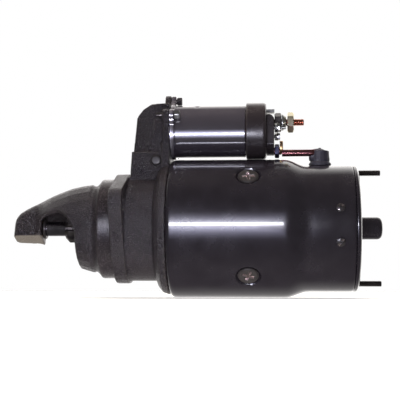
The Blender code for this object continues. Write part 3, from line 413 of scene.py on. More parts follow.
bright_steel = finish("bright_steel", (0.42, 0.42, 0.44), (0.55, 0.55, 0.56), 0.22, metal=1.0,
                      effect="lathe_marks", sizes=(9000,), bump=0.12, depth=0.0001)
# Painted shade: the shaft's steel is darker than bright steel, standing in for the dimness inside
# the nose's window.
shaft_steel = finish("shaft_steel_painted_shade", (0.20, 0.19, 0.21), (0.30, 0.28, 0.30), 0.24, metal=1.0,
                     effect="lathe_marks", sizes=(9000,), bump=0.12, depth=0.0001)
zinc = finish("zinc_plate", (0.50, 0.50, 0.47), (0.64, 0.64, 0.62), 0.30, metal=1.0,
              sizes=(1500, 4000), bump=0.2, depth=0.0001)
yellow_zinc = finish("yellow_zinc", (0.84, 0.73, 0.42), (0.74, 0.70, 0.58), 0.28, metal=1.0,
                     sizes=(1200, 4000), bump=0.15, depth=0.0001)
blue_steel = finish("blued_steel", (0.045, 0.050, 0.10), (0.075, 0.072, 0.12), 0.30, metal=0.9,
                    sizes=(1200, 4000), bump=0.15, depth=0.0001)
copper = finish("lacquered_copper", (0.34, 0.15, 0.15), (0.20, 0.075, 0.085), 0.26, metal=1.0,
                sizes=(260, 2600), bump=0.2, depth=0.0001, vary=0.12)
lug_copper = finish("lug_copper", (0.62, 0.30, 0.20), (0.55, 0.38, 0.20), 0.30, metal=1.0,
                    sizes=(500, 2600), bump=0.2, depth=0.0001)
stud_copper = finish("red_copper", (0.78, 0.38, 0.26), (0.56, 0.24, 0.18), 0.28, metal=1.0,
                     effect="lathe_marks", sizes=(8000,), bump=0.15, depth=0.0001)
coil_copper = finish("varnished_copper", (0.30, 0.11, 0.04), (0.20, 0.07, 0.03), 0.35, metal=0.5,
                     coat=0.5, sizes=(500, 1600), bump=0.4, depth=0.0003)
bronze = finish("sintered_bronze", (0.45, 0.28, 0.11), (0.36, 0.22, 0.09), 0.42, metal=1.0,
                sizes=(2600, 6000), bump=0.35, depth=0.0001)
carbon = finish("brush_carbon", (0.06, 0.045, 0.038), (0.11, 0.075, 0.055), 0.7, metal=0.2,
                sizes=(1800, 4500), bump=0.4, depth=0.0001)
LOOKS = {
    "bronze": bronze, "dark_steel": dark_steel, "bright_steel": bright_steel, "zinc": zinc,
    "coil_copper": coil_copper, "bare_copper": copper, "carbon": carbon,
    "rubber_black": rubber_black, "yellow_zinc": yellow_zinc, "blue_steel": blue_steel,
    "screw_steel": screw_black, "housing_black": cast_black, "frame_black": frame_black,
    "case_black": case_black, "cap_black": cap_black,
}
for part in frame["record"]["subparts"]:
    nodes[part["node"]].data.materials.clear()
    nodes[part["node"]].data.materials.append(LOOKS[part["material_slot"]])
print(len(LOOKS), "finishes on", len(nodes), "CAD nodes")

# %% [markdown]
# ## Castings and mouldings
# The nose housing is sand-cast iron, the cap is moulded and the boot is rubber. None of
# them has a crisp corner. A copy of the CAD solid is therefore rebuilt from small voxels
# and smoothed, which rounds every corner, and its turned bands are then set back on their
# true circles, which a smoothed many-sided solid would miss.


# %% Soft copies of CAD solids
SMOOTH, PUSH_BACK = 0.60, -0.62


def voxel_copy(node, voxel, passes, keep):
    """Mesh of a CAD node rebuilt from voxels, smoothed, and thinned to a share of its faces.

    The first pass smooths. Each later pass smooths and then pushes back, so that corners
    round off and almost nothing shrinks.
    """
    mesh = nodes[node].data.copy()
    bm = bmesh.new()
    bm.from_mesh(mesh)
    bmesh.ops.remove_doubles(bm, verts=bm.verts, dist=1e-6)
    bm.to_mesh(mesh)
    bm.free()
    helper = bpy.data.objects.new("helper", mesh)
    bpy.context.scene.collection.objects.link(helper)
    remesh = helper.modifiers.new("voxels", "REMESH")
    remesh.mode = "VOXEL"
    remesh.voxel_size = voxel
    for factor in [SMOOTH] + [SMOOTH, PUSH_BACK] * (passes - 1):
        soften = helper.modifiers.new("smooth", "SMOOTH")
        soften.factor = factor
        soften.iterations = 1
    if keep < 1:
        helper.modifiers.new("thin", "DECIMATE").ratio = keep
    bpy.context.view_layer.update()
    graph = bpy.context.evaluated_depsgraph_get()
    shape = bpy.data.meshes.new_from_object(helper.evaluated_get(graph))
    bpy.data.objects.remove(helper)
    return shape


def made_round(co, rounds):
    """Move points near a turned profile onto it.

    rounds holds (centre, x stations, radii, reach). A point whose distance from that axis is
    within reach of the profile's radius at its x is scaled out or in to that radius.
    """
    for (cy, cz), xs, rs, reach in rounds:
        dy, dz = co[:, 1] - cy, co[:, 2] - cz
        r = np.hypot(dy, dz)
        true = np.interp(co[:, 0], xs, rs)
        near = (np.abs(r - true) < reach) & (co[:, 0] >= xs[0]) & (co[:, 0] <= xs[-1])
        scale = np.where(near, true / np.maximum(r, 1e-6), 1.0)
        co[:, 1], co[:, 2] = cy + dy * scale, cz + dz * scale
    return co


def edge_mask(shape, co, voxel):
    """0 on flats and hollows, rising to 1 on outer corners.

    A point's bend is how far its neighbours' mean lies behind it along its normal, in voxels.
    """
    normals = np.empty(len(shape.vertices) * 3, np.float32)
    shape.vertices.foreach_get("normal", normals)
    pairs = np.empty(len(shape.edges) * 2, np.int32)
    shape.edges.foreach_get("vertices", pairs)
    a, b = pairs.reshape(-1, 2).T
    step = co[b] - co[a]
    lap, count = np.zeros_like(co), np.zeros(len(co))
    np.add.at(lap, a, step)
    np.add.at(lap, b, -step)
    np.add.at(count, np.r_[a, b], 1)
    bend = -(lap * normals.reshape(-1, 3)).sum(1) / np.maximum(count, 1) / voxel
    return np.clip(bend * 9 - 0.35, 0, 1)


def softened(name, node, voxel, passes, look, rounds=(), keep=1.0):
    """Soft copy of a CAD node, with true turned bands and an 'edge' mark for wear."""
    shape = voxel_copy(node, voxel, passes, keep)
    co = np.empty(len(shape.vertices) * 3, np.float32)
    shape.vertices.foreach_get("co", co)
    co = made_round(co.reshape(-1, 3).astype(float), rounds)
    shape.vertices.foreach_set("co", co.astype(np.float32).ravel())
    shape.update()
    mark = shape.attributes.new("edge", "FLOAT", "POINT")
    mark.data.foreach_set("value", edge_mask(shape, co, voxel).astype(np.float32))
    return settle(name, shape, look, "frame", (node,), sharp=180)


# %% Housing, cap and boot
shaft_axis = (0.0, 0.0)
solenoid_axis = middle("solenoid_core")
softened(
    "cast_housing", "drive_housing", 0.00080, 2, cast_black, keep=0.62,
    rounds=[
        (shaft_axis, [-0.0122, -0.0112, -0.0004], [0.0408, 0.04128, 0.04128], 0.0006),
        (shaft_axis, [0.0112, 0.0140, 0.0332], [0.0433, 0.0433, 0.0433], 0.0005),
        (shaft_axis, [0.0340, 0.0355, 0.0388, 0.0433], [0.0452, 0.0491, 0.0530, 0.0545], 0.0006),
    ],
)
cap_low, cap_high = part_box("solenoid_cap")
cap_r = cap_high.z - solenoid_axis[1]
softened(
    "moulded_cap", "solenoid_cap", 0.00050, 3, cap_black,
    rounds=[(solenoid_axis, [cap_low.x + 0.0008, cap_low.x + 0.0145], [cap_r, cap_r], 0.0004)],
)
softened("rubber_boot", "lead_boot", 0.00042, 5, rubber_black)

# %% [markdown]
# ## The field frame
# The frame is a steel tube, necked down behind the poles and painted gloss black. Four
# wide countersinks hold the pole screws. On the grid, a countersink is the lower of two
# heights above the shaft: the tube's own and a cone's. Rows are packed close near it.

# %% Field frame
tube_low, tube_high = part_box("field_frame")
tube_r = 0.05715
pole_x = sum(v.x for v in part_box("pole_screw_1")) / 2
POLE_ANGLES = [radians(a) for a in (45, 135, 225, 315)]
TUBE_SIDES = 480
outline = fillet([
    (tube_low.x, 0.0545), (tube_low.x + 0.0010, 0.0560), (tube_low.x + 0.0032, tube_r),
    (0.1403, tube_r), (0.1450, 0.0560), (0.1530, 0.0528), (0.1568, 0.0520),
    (tube_high.x - 0.0008, 0.0520), (tube_high.x, 0.0512),
], 0.004, 6)
stations = np.unique(np.round(np.r_[
    outline[:, 0], np.arange(pole_x - 0.0126, pole_x + 0.0126, 0.00062),
    np.linspace(tube_low.x, tube_high.x, 36),
], 6))
outer = spin(np.c_[stations, np.interp(stations, outline[:, 0], outline[:, 1])], TUBE_SIDES)


def sink(grid, x, angle, floor, floor_r, slope):
    """Lower a turned surface to a cone round the radial line at (x, angle).

    Height along that line becomes the lesser of itself and floor + slope * (d - floor_r),
    where d is the distance from the line.
    """
    up = np.array([0.0, cos(angle), sin(angle)])
    side = np.array([0.0, -sin(angle), cos(angle)])
    high, across = grid @ up, grid @ side
    d = np.hypot(grid[..., 0] - x, across)
    cone = floor + slope * np.maximum(d - floor_r, 0)
    drop = np.where((high > 0) & (d < 0.014), np.maximum(high - cone, 0), 0)
    return grid - drop[..., None] * up


for angle in POLE_ANGLES:
    outer = sink(outer, pole_x, angle, tube_r - 0.0027, 0.0088, 1.55)
inner = spin([
    (tube_high.x, 0.0486), (0.1535, 0.0486), (0.1410, 0.0532), (tube_low.x, 0.0532),
], TUBE_SIDES)
piece("painted_frame", [shell(np.vstack([outer, inner]), ring=True)],
      frame_black, "frame", "frame_black", "field_frame", sharp=28)

# %% [markdown]
# ## Screws with a cross recess
# Each head is a disc of rings round a centre point. Its height is flat, rounded down at
# the rim, and pressed down where a cross-shaped driver fits. The paint is missing in the
# recess, where the driver scraped it, so a mark on those points shows bare metal.


# %% Pole screws
def stand_out(local, x, angle):
    """Place (across, along, out) coordinates on the radial line at (x, angle)."""
    up = np.array([0.0, cos(angle), sin(angle)])
    side = np.array([0.0, -sin(angle), cos(angle)])
    along = np.array([1.0, 0.0, 0.0])
    base = np.array([x, 0.0, 0.0])
    return base + local[..., :1] * side + local[..., 1:2] * along + local[..., 2:] * up


def disc(radius, top, rows=44, sides=120):
    """Polar grid of (across, along, height), from near the centre to the rim."""
    r = np.linspace(0.00012, radius, rows)[:, None]
    a = np.linspace(0, 2 * pi, sides, endpoint=False)[None]
    return np.stack([r * np.cos(a), r * np.sin(a), np.full(r.shape, top) + 0 * a], -1)


def cross_mask(grid, arm, width, soft):
    """1 inside a cross of two bars, falling to 0 over soft beyond its edge."""
    u, v = np.abs(grid[..., 0]), np.abs(grid[..., 1])
    one = np.maximum(u - arm, v - width)
    two = np.maximum(u - width, v - arm)
    return 1 - smoothstep(-soft, soft, np.minimum(one, two))


def screw_head(name, node, slot, top, rim, scraped, x, angle):
    """Close a disc with a skirt of (radius, height) rows below its rim, and stand it out.

    scraped marks bare metal, 0 to 1, at each point of the disc.
    """
    sides = top.shape[1]
    a = np.linspace(0, 2 * pi, sides, endpoint=False)
    r, h = np.array(rim).T[:, :, None]
    skirt = np.stack([r * np.cos(a), r * np.sin(a), h + 0 * a], -1)
    marks = np.r_[scraped.ravel(), np.zeros(len(rim) * sides), scraped.flat[0], 0.0]
    grid = stand_out(np.vstack([top, skirt]), x, angle)
    piece(name, [shell(grid)], screw_black, "frame", slot, node, sharp=40, bare_metal_and_highlight=marks)


POLE_HEAD_R, POLE_SEAT = 0.0082, tube_r - 0.0027
for k, angle in enumerate(POLE_ANGLES):
    top = disc(POLE_HEAD_R, tube_r - 0.0006)
    u, v, far = top[..., 0], top[..., 1], np.hypot(top[..., 0], top[..., 1])
    tilt = radians((12, -7, 20, 4)[k])
    driver = np.stack([u * cos(tilt) - v * sin(tilt), u * sin(tilt) + v * cos(tilt)], -1)
    recess = cross_mask(driver, 0.0046, 0.00105, 0.00035)
    top[..., 2] += -0.0019 * recess - 0.0007 * smoothstep(0.0070, POLE_HEAD_R, far)
    rim = [(POLE_HEAD_R, POLE_SEAT), (0.0030, POLE_SEAT - 0.0001), (0.0030, 0.0450)]
    screw_head(f"pole_screw_head_{k + 1}", f"pole_screw_{k + 1}", "screw_steel", top, rim,
               np.clip(recess * 1.2, 0, 1), pole_x, angle)

# %% Brush holder screws
brush_x = sum(v.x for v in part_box("brush_holder_screw_1")) / 2
BRUSH_HEAD_R = 0.0034
for k, angle in enumerate((radians(165), radians(195))):
    top = disc(BRUSH_HEAD_R, 0.0536, 20, 60)
    far = np.hypot(top[..., 0], top[..., 1])
    across = top[..., 0] * cos(0.9) + top[..., 1] * sin(0.9)
    groove = 1 - smoothstep(0.0003, 0.0007, np.abs(across))
    top[..., 2] += -0.0008 * groove - 0.0009 * (far / BRUSH_HEAD_R) ** 2
    rim = [(BRUSH_HEAD_R, 0.0523), (0.0014, 0.0522), (0.0014, 0.0430)]
    screw_head(f"brush_screw_head_{k + 1}", f"brush_holder_screw_{k + 1}", "dark_steel", top,
               rim, np.clip(groove * (far > 0.0016), 0, 1), brush_x, angle)

# %% [markdown]
# ## The commutator end
# The rear cover is a shallow pressed dome with a boss for the rear bushing. It is one
# turned surface, inside and out, with a small locating notch at the top and the bottom
# edge. The long through bolts come out of it as bare threaded studs.

# %% End frame
cover_low, cover_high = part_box("commutator_end_frame")
x0 = cover_low.x
dome = fillet([
    (x0, 0.0460), (x0, 0.0514), (0.1955, 0.0521), (0.1970, 0.0515), (0.1982, 0.0490),
    (0.1992, 0.0400), (0.2001, 0.0180), (0.2006, 0.0120), (0.2014, 0.0098), (0.2030, 0.0093),
    (0.2150, 0.0093), (0.2172, 0.0082), (0.2184, 0.0060), (cover_high.x, 0.0020),
    (cover_high.x, POINT),
], 0.0012, 3)
back = [
    (0.2150, POINT), (0.2150, 0.0076), (0.1968, 0.0076), (0.1966, 0.0180), (0.1958, 0.0440),
    (x0, 0.0455),
]
cover = spin(np.vstack([dome, back]), 256)
around = np.arctan2(cover[..., 2], cover[..., 1])
for notch in (pi / 2, -pi / 2):
    arc = np.abs(np.angle(np.exp(1j * (around - notch)))) * 0.052
    rim = (np.hypot(cover[..., 1], cover[..., 2]) > 0.0505) & (arc < 0.0035)
    cover[..., 1:] *= np.where(rim, 0.972, 1.0)[..., None]
piece("pressed_end_cover", [shell(cover, ring=True)], frame_black, "frame", "frame_black",
      "commutator_end_frame", sharp=30)


# %% Threads
THREAD_DEPTH = 0.55  # share of the pitch


def threaded(x_start, x_end, radius, pitch, thread_from, centre, sides=36, chamfer=0.0006):
    """Turned rod whose radius drops by a helical groove from thread_from on.

    radius - depth * pitch * (1 - triangle(x / pitch - angle / 2 pi)), where the triangle
    wave rises from 0 to 1 and falls back once a pitch; both ends are chamfered.
    """
    smooth_part = np.linspace(x_start, thread_from, 6)[:-1]
    count = max(int((x_end - thread_from) / pitch * 8), 8)
    x = np.r_[smooth_part, np.linspace(thread_from, x_end, count)][:, None]
    a = np.linspace(0, 2 * pi, sides, endpoint=False)[None]
    wave = np.abs(2 * np.mod(x / pitch - a / (2 * pi), 1) - 1)
    cut = THREAD_DEPTH * pitch * (1 - wave) * smoothstep(thread_from, thread_from + pitch, x)
    end = np.minimum(x - x_start, x_end - x)
    return turned(x, np.minimum(radius - cut, radius - chamfer + end), centre)


for name in ("upper", "lower"):
    low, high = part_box(f"through_bolt_{name}")
    at = middle(f"through_bolt_{name}")
    stud = threaded(low.x, high.x, 0.0025, 0.0009, cover_low.x + 0.0005, at)
    piece(f"bolt_stud_{name}", [shell(stud)], dark_steel, "frame", "dark_steel",
          f"through_bolt_{name}", sharp=50)

# %% [markdown]
# ## The solenoid
# The can is drawn from sheet steel: a bright black tube with a rounded front edge and a
# small dimple on top that pins it to its core. A flange plate with three lugs screws it
# to the nose housing. The can is turned; the plate is an outline given a thickness.

# %% Can and flange plate
case_low, case_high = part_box("solenoid_case")
can_r, bore_r = 0.0219, 0.0202
plate_x = case_low.x + 0.0040
can_profile = fillet([
    (case_low.x + 0.0002, 0.0112), (case_low.x + 0.0002, 0.0212), (plate_x + 0.0006, can_r),
    (case_high.x - 0.0003, can_r), (case_high.x, can_r - 0.0004), (case_high.x, bore_r),
    (case_low.x + 0.0035, bore_r), (case_low.x + 0.0035, 0.0112),
], 0.0005, 3)
dimple_x = 0.0668
cuts = np.arange(dimple_x - 0.004, dimple_x + 0.004, 0.0005)
where = int(np.argmax(can_profile[:, 0] > case_high.x - 0.001))
straight = np.c_[cuts, np.full(len(cuts), can_r)]
can_profile = np.vstack([can_profile[:where], straight, can_profile[where:]])
can = spin(can_profile, 320, solenoid_axis)
aim = radians(118)
radial = np.array([0.0, cos(aim), sin(aim)])
spot = np.array([dimple_x, *solenoid_axis]) + can_r * radial
gap = np.linalg.norm(can - spot, axis=-1)
can -= (0.0006 * (1 - smoothstep(0.0010, 0.0023, gap)))[..., None] * radial
piece("solenoid_can", [shell(can, ring=True)], case_black, "frame", "case_black", "solenoid_case",
      bare_metal_and_highlight=np.zeros(1))

screw_centres = [np.array(middle(f"solenoid_screw_{k}")) for k in (1, 2, 3)]


PLATE_R, LUG_R, PLATE_BORE, PLATE_SOFT = 0.0236, 0.0046, 0.0214, 0.0005


def plate_radius(a):
    """Distance from the solenoid's axis to the plate's edge at angle a.

    It is the greatest of a disc's radius, each lug's far side u cos(g) + sqrt(r^2 -
    u^2 sin(g)^2), where g is the angle from the lug's own and u its distance, and a low
    swelling that leads into the lug.
    """
    out = np.full(a.shape, PLATE_R)
    for at in screw_centres:
        offset = at - np.array(solenoid_axis)
        u, way = np.hypot(*offset), np.arctan2(offset[1], offset[0])
        g = np.abs(np.angle(np.exp(1j * (a - way))))
        lug = u * np.cos(g) + np.sqrt(np.maximum(LUG_R**2 - (u * np.sin(g)) ** 2, 0))
        inside = u * np.abs(np.sin(g)) < LUG_R
        out = np.where(inside & (g < 1), np.maximum(out, lug), out)
        skirt = PLATE_R + 0.0028 * (1 - smoothstep(0.16, 0.34, g))
        out = np.maximum(out, np.where(g < 0.34, skirt, 0))
    return out


a = np.linspace(0, 2 * pi, 360, endpoint=False)[None]
edge_r = plate_radius(a)
bore = np.full(a.shape, PLATE_BORE)
soft_r = edge_r - PLATE_SOFT
x = case_low.x + np.array([0, 0, PLATE_SOFT, 0.0035, 0.0040, 0.0040])[:, None]
plate = turned(x, np.vstack([bore, soft_r, edge_r, edge_r, soft_r, bore]), solenoid_axis)
# Painted highlight: the plate's front rim and rounded corner on the near side, which faces the
# front lamps, take the light metal colour of the can's finish.
wear_and_painted_highlight = np.array([0, 1, 0.7, 0, 0, 0])[:, None] * smoothstep(0.0, 0.6, -np.cos(a))
piece("solenoid_flange_plate", [shell(plate, ring=True)], case_black, "frame", "case_black",
      bare_metal_and_highlight=wear_and_painted_highlight.ravel())


# %% [markdown]
# ## Nuts and hexagon heads
# A nut is bar stock with six flats whose corners are turned off. Its radius at any angle
# is the lesser of the hexagon's and a cone's, so one formula gives the flats, the corners
# and the curved chamfer lines between them.


# %% Hexagons
HEX_STEPS, HEX_SIDES = 14, 96


def hex_ring(x_start, x_end, flats, bore, centre, turn=pi / 2):
    """Ring whose outside is min(hexagon radius, cone radius) and whose bore is round.

    Hexagon radius: flats / 2 / cos(angle to the nearest flat's middle); cone radius:
    flats / 2 * 0.97 at the faces, growing 1.7 times the distance from them. turn is the
    angle of a corner.
    """
    x = np.linspace(x_start, x_end, HEX_STEPS)
    a = np.linspace(0, 2 * pi, HEX_SIDES, endpoint=False)
    nearest = np.mod(a - turn, pi / 3) - pi / 6
    hexagon = flats / 2 / np.cos(nearest)
    depth = np.minimum(x - x_start, x_end - x)
    cone = flats / 2 * 0.97 + depth * 1.7
    r = np.minimum(hexagon[None], cone[:, None])
    inner = np.full((1, HEX_SIDES), bore)
    x = np.r_[x_start, x, x_end][:, None]
    return turned(x, np.vstack([inner, r, inner]), centre)


def nut(name, node, flats, look, slot):
    """Nut on a terminal stud, as long as the CAD node that it stands for."""
    low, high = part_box(node)
    grid = hex_ring(low.x, high.x, flats, STUD_R + 0.0003, middle(node))
    piece(name, [shell(grid, ring=True)], look, "frame", slot, node, sharp=32)


STUD_R = 0.0031
nut("battery_nut_inner", "battery_inner_nut", 0.0140, dark_steel, "dark_steel")
nut("battery_nut_outer", "battery_outer_nut", 0.0148, yellow_zinc, "yellow_zinc")
nut("motor_nut_blued", "motor_nut", 0.0102, blue_steel, "blue_steel")

# %% Solenoid screws
head_x, neck_x = case_low.x + 0.0043, case_low.x + 0.0048
for k, corner in ((1, 120), (2, 185), (3, 352)):
    low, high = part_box(f"solenoid_screw_{k}")
    at = screw_centres[k - 1]
    head = hex_ring(head_x, high.x, 0.0062, POINT, at, radians(corner))
    tip = low.x + (0.0052 if k == 1 else 0)
    shank = spin(fillet([(tip, POINT), (tip, 0.0019), (neck_x, 0.0019), (neck_x, POINT)],
                        0.0003, 2), 24, at)
    head_look = (cast_black, "housing_black") if k == 1 else (zinc, "zinc")
    piece(f"hex_screw_{k}", [shell(head)], head_look[0], "frame", head_look[1],
          f"solenoid_screw_{k}")
    piece(f"hex_screw_shank_{k}", [shell(shank)], dark_steel, "frame", "dark_steel")

# %% Studs and small terminals
low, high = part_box("battery_stud")
at = middle("battery_stud")
grid = threaded(0.1165, high.x, STUD_R, 0.00125, 0.1290, at, chamfer=0.0008)
head = spin(fillet([
    (low.x, POINT), (low.x, 0.0062), (0.1167, 0.0062), (0.1167, POINT),
], 0.0006), 48, at)
piece("battery_stud_threaded", [shell(grid), shell(head)], stud_copper, "frame",
      "bare_copper", "battery_stud", sharp=50)
low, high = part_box("battery_washer")
cone = fillet([
    (low.x, 0.0034), (low.x, 0.0068), (low.x + 0.0009, 0.0068), (high.x, 0.0048),
    (high.x, 0.0034),
], 0.0003, 3)
piece("cone_washer", [shell(spin(cone, 64, at), ring=True)], zinc, "frame", "zinc",
      "battery_washer")
face = cap_high.x + 0.0003
for name, flats, at in (("switch_terminal", 0.0068, (-0.0110, 0.0825)),
                        ("relay_terminal", 0.0058, (0.0090, 0.0780))):
    low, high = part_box(name)
    pin = threaded(low.x, high.x, 0.0015, 0.0006, face, at, 24, 0.0003)
    first = hex_ring(face, face + 0.0022, flats, POINT, at)
    washer = spin([
        (face + 0.0019, POINT), (face + 0.0019, flats * 0.6), (face + 0.0029, flats * 0.6),
        (face + 0.0029, POINT),
    ], 40, at)
    second = hex_ring(face + 0.0026, face + 0.0046, flats * 0.9, POINT, at, pi / 2 + 0.3)
    piece(f"{name}_hardware", [shell(g) for g in (pin, first, washer, second)], zinc,
          "frame", "zinc", name, sharp=40)

# %% [markdown]
# ## The field lead
# A thick copper rod carries current from the motor terminal down into the frame.
# It is a circle carried along a path that runs straight back and bends down, ending in
# a flat eye on the terminal. The path is held at both ends and has no slack.

# %% Copper lead
lead_x, lead_y, lead_z, lead_r, bend_r = 0.1680, -0.0035, 0.0623, 0.0029, 0.0060
turn_a = np.linspace(0, pi / 2, 12)
run = np.vstack([
    np.c_[np.linspace(0.1367, lead_x - bend_r - 0.002, 10), np.full((10, 2), (lead_y, lead_z))],
    np.c_[lead_x - bend_r + bend_r * np.sin(turn_a), lead_y * (1 - turn_a / (pi / 2)),
          lead_z - bend_r + bend_r * np.cos(turn_a)],
    [[lead_x, 0.0, 0.0530], [lead_x, 0.0, 0.0490]],
])


def carried(path, radius, sides=28):
    """Circle carried along a path: point + radius (cos a * side + sin a * up).

    up is across both the path's direction and the Y axis, and side across both of those.
    """
    ahead = np.gradient(path, axis=0)
    ahead /= np.linalg.norm(ahead, axis=1, keepdims=True)
    up = np.cross(ahead, [0.0, 1.0, 0.0])
    up /= np.linalg.norm(up, axis=1, keepdims=True)
    side = np.cross(up, ahead)
    a = np.linspace(0, 2 * pi, sides, endpoint=False)[None, :, None]
    ring = np.cos(a) * side[:, None] + np.sin(a) * up[:, None]
    return path[:, None] + radius * ring


at = middle("motor_stud")
eye = spin(fillet([
    (0.1349, 0.0034), (0.1349, 0.0056), (0.1376, 0.0056), (0.1376, 0.0034),
], 0.0005, 3), 56, at)
piece("copper_lead", [shell(carried(run, lead_r))], copper, "frame", "bare_copper", "field_lead")
piece("lead_eye", [shell(eye, ring=True)], lug_copper, "frame", "bare_copper")

# %% [markdown]
# ## Shaft, stop and pinion
# These are what the nose's open side shows. The shaft is ground bright, the stop ring
# keeps the pinion on it, and the pinion's nine teeth are rounded waves whose corners are
# chamfered where they slide into the ring gear.

# %% Shaft and stop
low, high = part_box("armature_shaft")
shaft = fillet([
    (low.x, POINT), (low.x, 0.0043), (low.x + 0.0007, 0.0050), (-0.0640, 0.0050),
    (-0.0640, 0.0060), (0.0040, 0.0060), (0.0040, 0.0080), (0.0600, 0.0080), (0.0600, 0.0090),
    (0.1905, 0.0090), (0.1905, 0.0060), (high.x - 0.0008, 0.0060), (high.x, 0.0052),
    (high.x, POINT),
], 0.0004, 3)
# The shaft's darker colour is painted shade for the nose's dim window.
piece("ground_shaft", [shell(spin(shaft, 96))], shaft_steel, "armature", "bright_steel",
      "armature_shaft")
stop = fillet([
    (-0.0630, 0.0063), (-0.0630, 0.0076), (-0.0623, 0.0083), (-0.0610, 0.0083),
    (-0.0603, 0.0076), (-0.0603, 0.0063),
], 0.0003, 3)
piece("stop_ring", [shell(spin(stop, 72), ring=True)], dark_steel, "armature", "dark_steel",
      "pinion_stop")

# %% Pinion
TEETH, ROOT_R, TOOTH_HEIGHT, GEAR_BORE = 9, 0.0084, 0.0030, 0.0063
low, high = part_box("pinion")
gear_end = -0.0190
a = np.linspace(0, 2 * pi, TEETH * 28, endpoint=False)[None]
tooth = np.abs(2 * np.mod(a * TEETH / (2 * pi), 1) - 1)
flank = ROOT_R + TOOTH_HEIGHT * smoothstep(0.30, 0.62, tooth)
x = np.r_[
    low.x, np.linspace(low.x, low.x + 0.0030, 8), np.linspace(low.x + 0.0035, gear_end, 6),
    gear_end + 0.0001, high.x - 0.0003, high.x,
][:, None]
lead_in = ROOT_R + (x - low.x) * 1.05
radii = np.where(x <= gear_end, np.minimum(flank, lead_in), 0.0096 + 0 * a)
radii[0], radii[-1] = GEAR_BORE, 0.0093
radii = np.vstack([radii, np.full(a.shape, GEAR_BORE)])
gear = turned(np.r_[x, [[high.x]]], radii)
piece("pinion_gear", [shell(gear, ring=True)], dark_steel, "pinion", "dark_steel", "pinion",
      sharp=32)

# %% [markdown]
# ## The lever's pin
# The shift lever rocks on a pin pressed across the housing. Its head is a low dome, and
# both ends are chamfered. It is turned like the shaft, about a line across the motor.

# %% Lever pin
low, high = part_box("lever_pin")
pin_x, pin_z = (low.x + high.x) / 2, (low.z + high.z) / 2
along = np.array(fillet([
    (low.y, POINT), (low.y, 0.0030), (low.y + 0.0010, 0.0046), (-0.0176, 0.0046),
    (-0.0176, 0.0030), (high.y - 0.0006, 0.0030), (high.y, 0.0024), (high.y, POINT),
], 0.0006, 4))
a = np.linspace(0, 2 * pi, 56, endpoint=False)[None]
y, r = along.T[:, :, None]
pin = np.stack([pin_x + r * np.cos(a), y + 0 * a, pin_z + r * np.sin(a)], -1)
piece("lever_pin_pressed", [shell(pin)], screw_black, "frame", "dark_steel", "lever_pin",
      bare_metal_and_highlight=np.zeros(1))

# %% [markdown]
# ## Springs
# A spring is a circle carried along a helix. The return spring sits inside the plunger,
# which shortens it as the plunger is drawn in; here it is built at one length. The return spring
# sits inside the plunger
# and shortens as the plunger is drawn in, so it squashes along the shaft's direction.


# %% Springs
def helix(x_start, x_end, coil, wire, turns, z=0.0):
    """Points x, coil cos a, z + coil sin a, with x rising evenly with a."""
    a = np.linspace(0, 2 * pi * turns, int(turns * 26))
    x = np.linspace(x_start + wire, x_end - wire, len(a))
    return np.c_[x, coil * np.cos(a), z + coil * np.sin(a)]


low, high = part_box("plunger_spring")
wire = carried(helix(low.x, high.x, 0.0056, 0.0006, 6, solenoid_axis[1]), 0.0006, 10)
return_spring = piece("return_spring", [shell(wire)], bright_steel, "frame", "bright_steel",
                      "plunger_spring", sharp=60)
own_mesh(return_spring)
low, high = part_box("drive_spring")
wire = carried(helix(low.x, high.x, 0.0128, 0.0011, 4), 0.0011, 12)
piece("clutch_spring", [shell(wire)], dark_steel, "drive", "dark_steel", "drive_spring",
      sharp=60)

# %% [markdown]
# ## Floor, air and light
# A plain pale floor fades out into white, so no edge cuts the picture. Glossy black shows
# only what it mirrors: one long soft strip in front gives the bright line along each
# barrel, and a pale sky behind gives the grey rims at top and bottom.

# %% Floor
FLOOR_RINGS, FLOOR_SIDES = 30, 96
floor_z = cad_low.z - 0.0002
a = np.linspace(0, 2 * pi, FLOOR_SIDES, endpoint=False)[None]
r = np.linspace(0.01, 3.0, FLOOR_RINGS)[:, None]
underneath = np.stack([0.07 + r * np.cos(a), r * np.sin(a), floor_z + 0 * r * a], -1)
index = np.arange(FLOOR_RINGS * FLOOR_SIDES).reshape(FLOOR_RINGS, FLOOR_SIDES)
low, high = index[:-1], index[1:]
quads = np.stack([low, high, np.roll(high, -1, 1), np.roll(low, -1, 1)], -1).reshape(-1, 4)
mesh = bpy.data.meshes.new("floor")
mesh.from_pydata(underneath.reshape(-1, 3).tolist(), [], quads.tolist() + [index[0].tolist()])
floor = bpy.data.objects.new("floor", mesh)
bpy.context.scene.collection.objects.link(floor)
paper = bpy.data.materials.new("pale_floor")
paper.use_nodes = True
tree = paper.node_tree
shader = tree.nodes["Principled BSDF"]
shader.inputs["Base Color"].default_value = (0.92, 0.92, 0.91, 1)
shader.inputs["Roughness"].default_value = 0.9
shader.inputs["Specular IOR Level"].default_value = 0.0
shader.inputs["Emission Color"].default_value = (1, 1, 1, 1)
shader.inputs["Emission Strength"].default_value = 0.45
place = tree.nodes.new("ShaderNodeTexCoord")
away = tree.nodes.new("ShaderNodeVectorMath")
away.operation = "LENGTH"
tree.links.new(place.outputs["Object"], away.inputs[0])
fade = spread(tree, away.outputs["Value"], 1.1, 0.35)
under = maths(tree, "SUBTRACT", 1.0, tree.nodes.new("ShaderNodeNewGeometry").outputs["Backfacing"])
tree.links.new(maths(tree, "MULTIPLY", fade, under), shader.inputs["Alpha"])
mesh.materials.append(paper)
floor.visible_glossy = False
floor.visible_diffuse = False
floor.visible_shadow = False
print("floor at", round(1000 * floor_z, 1), "mm")

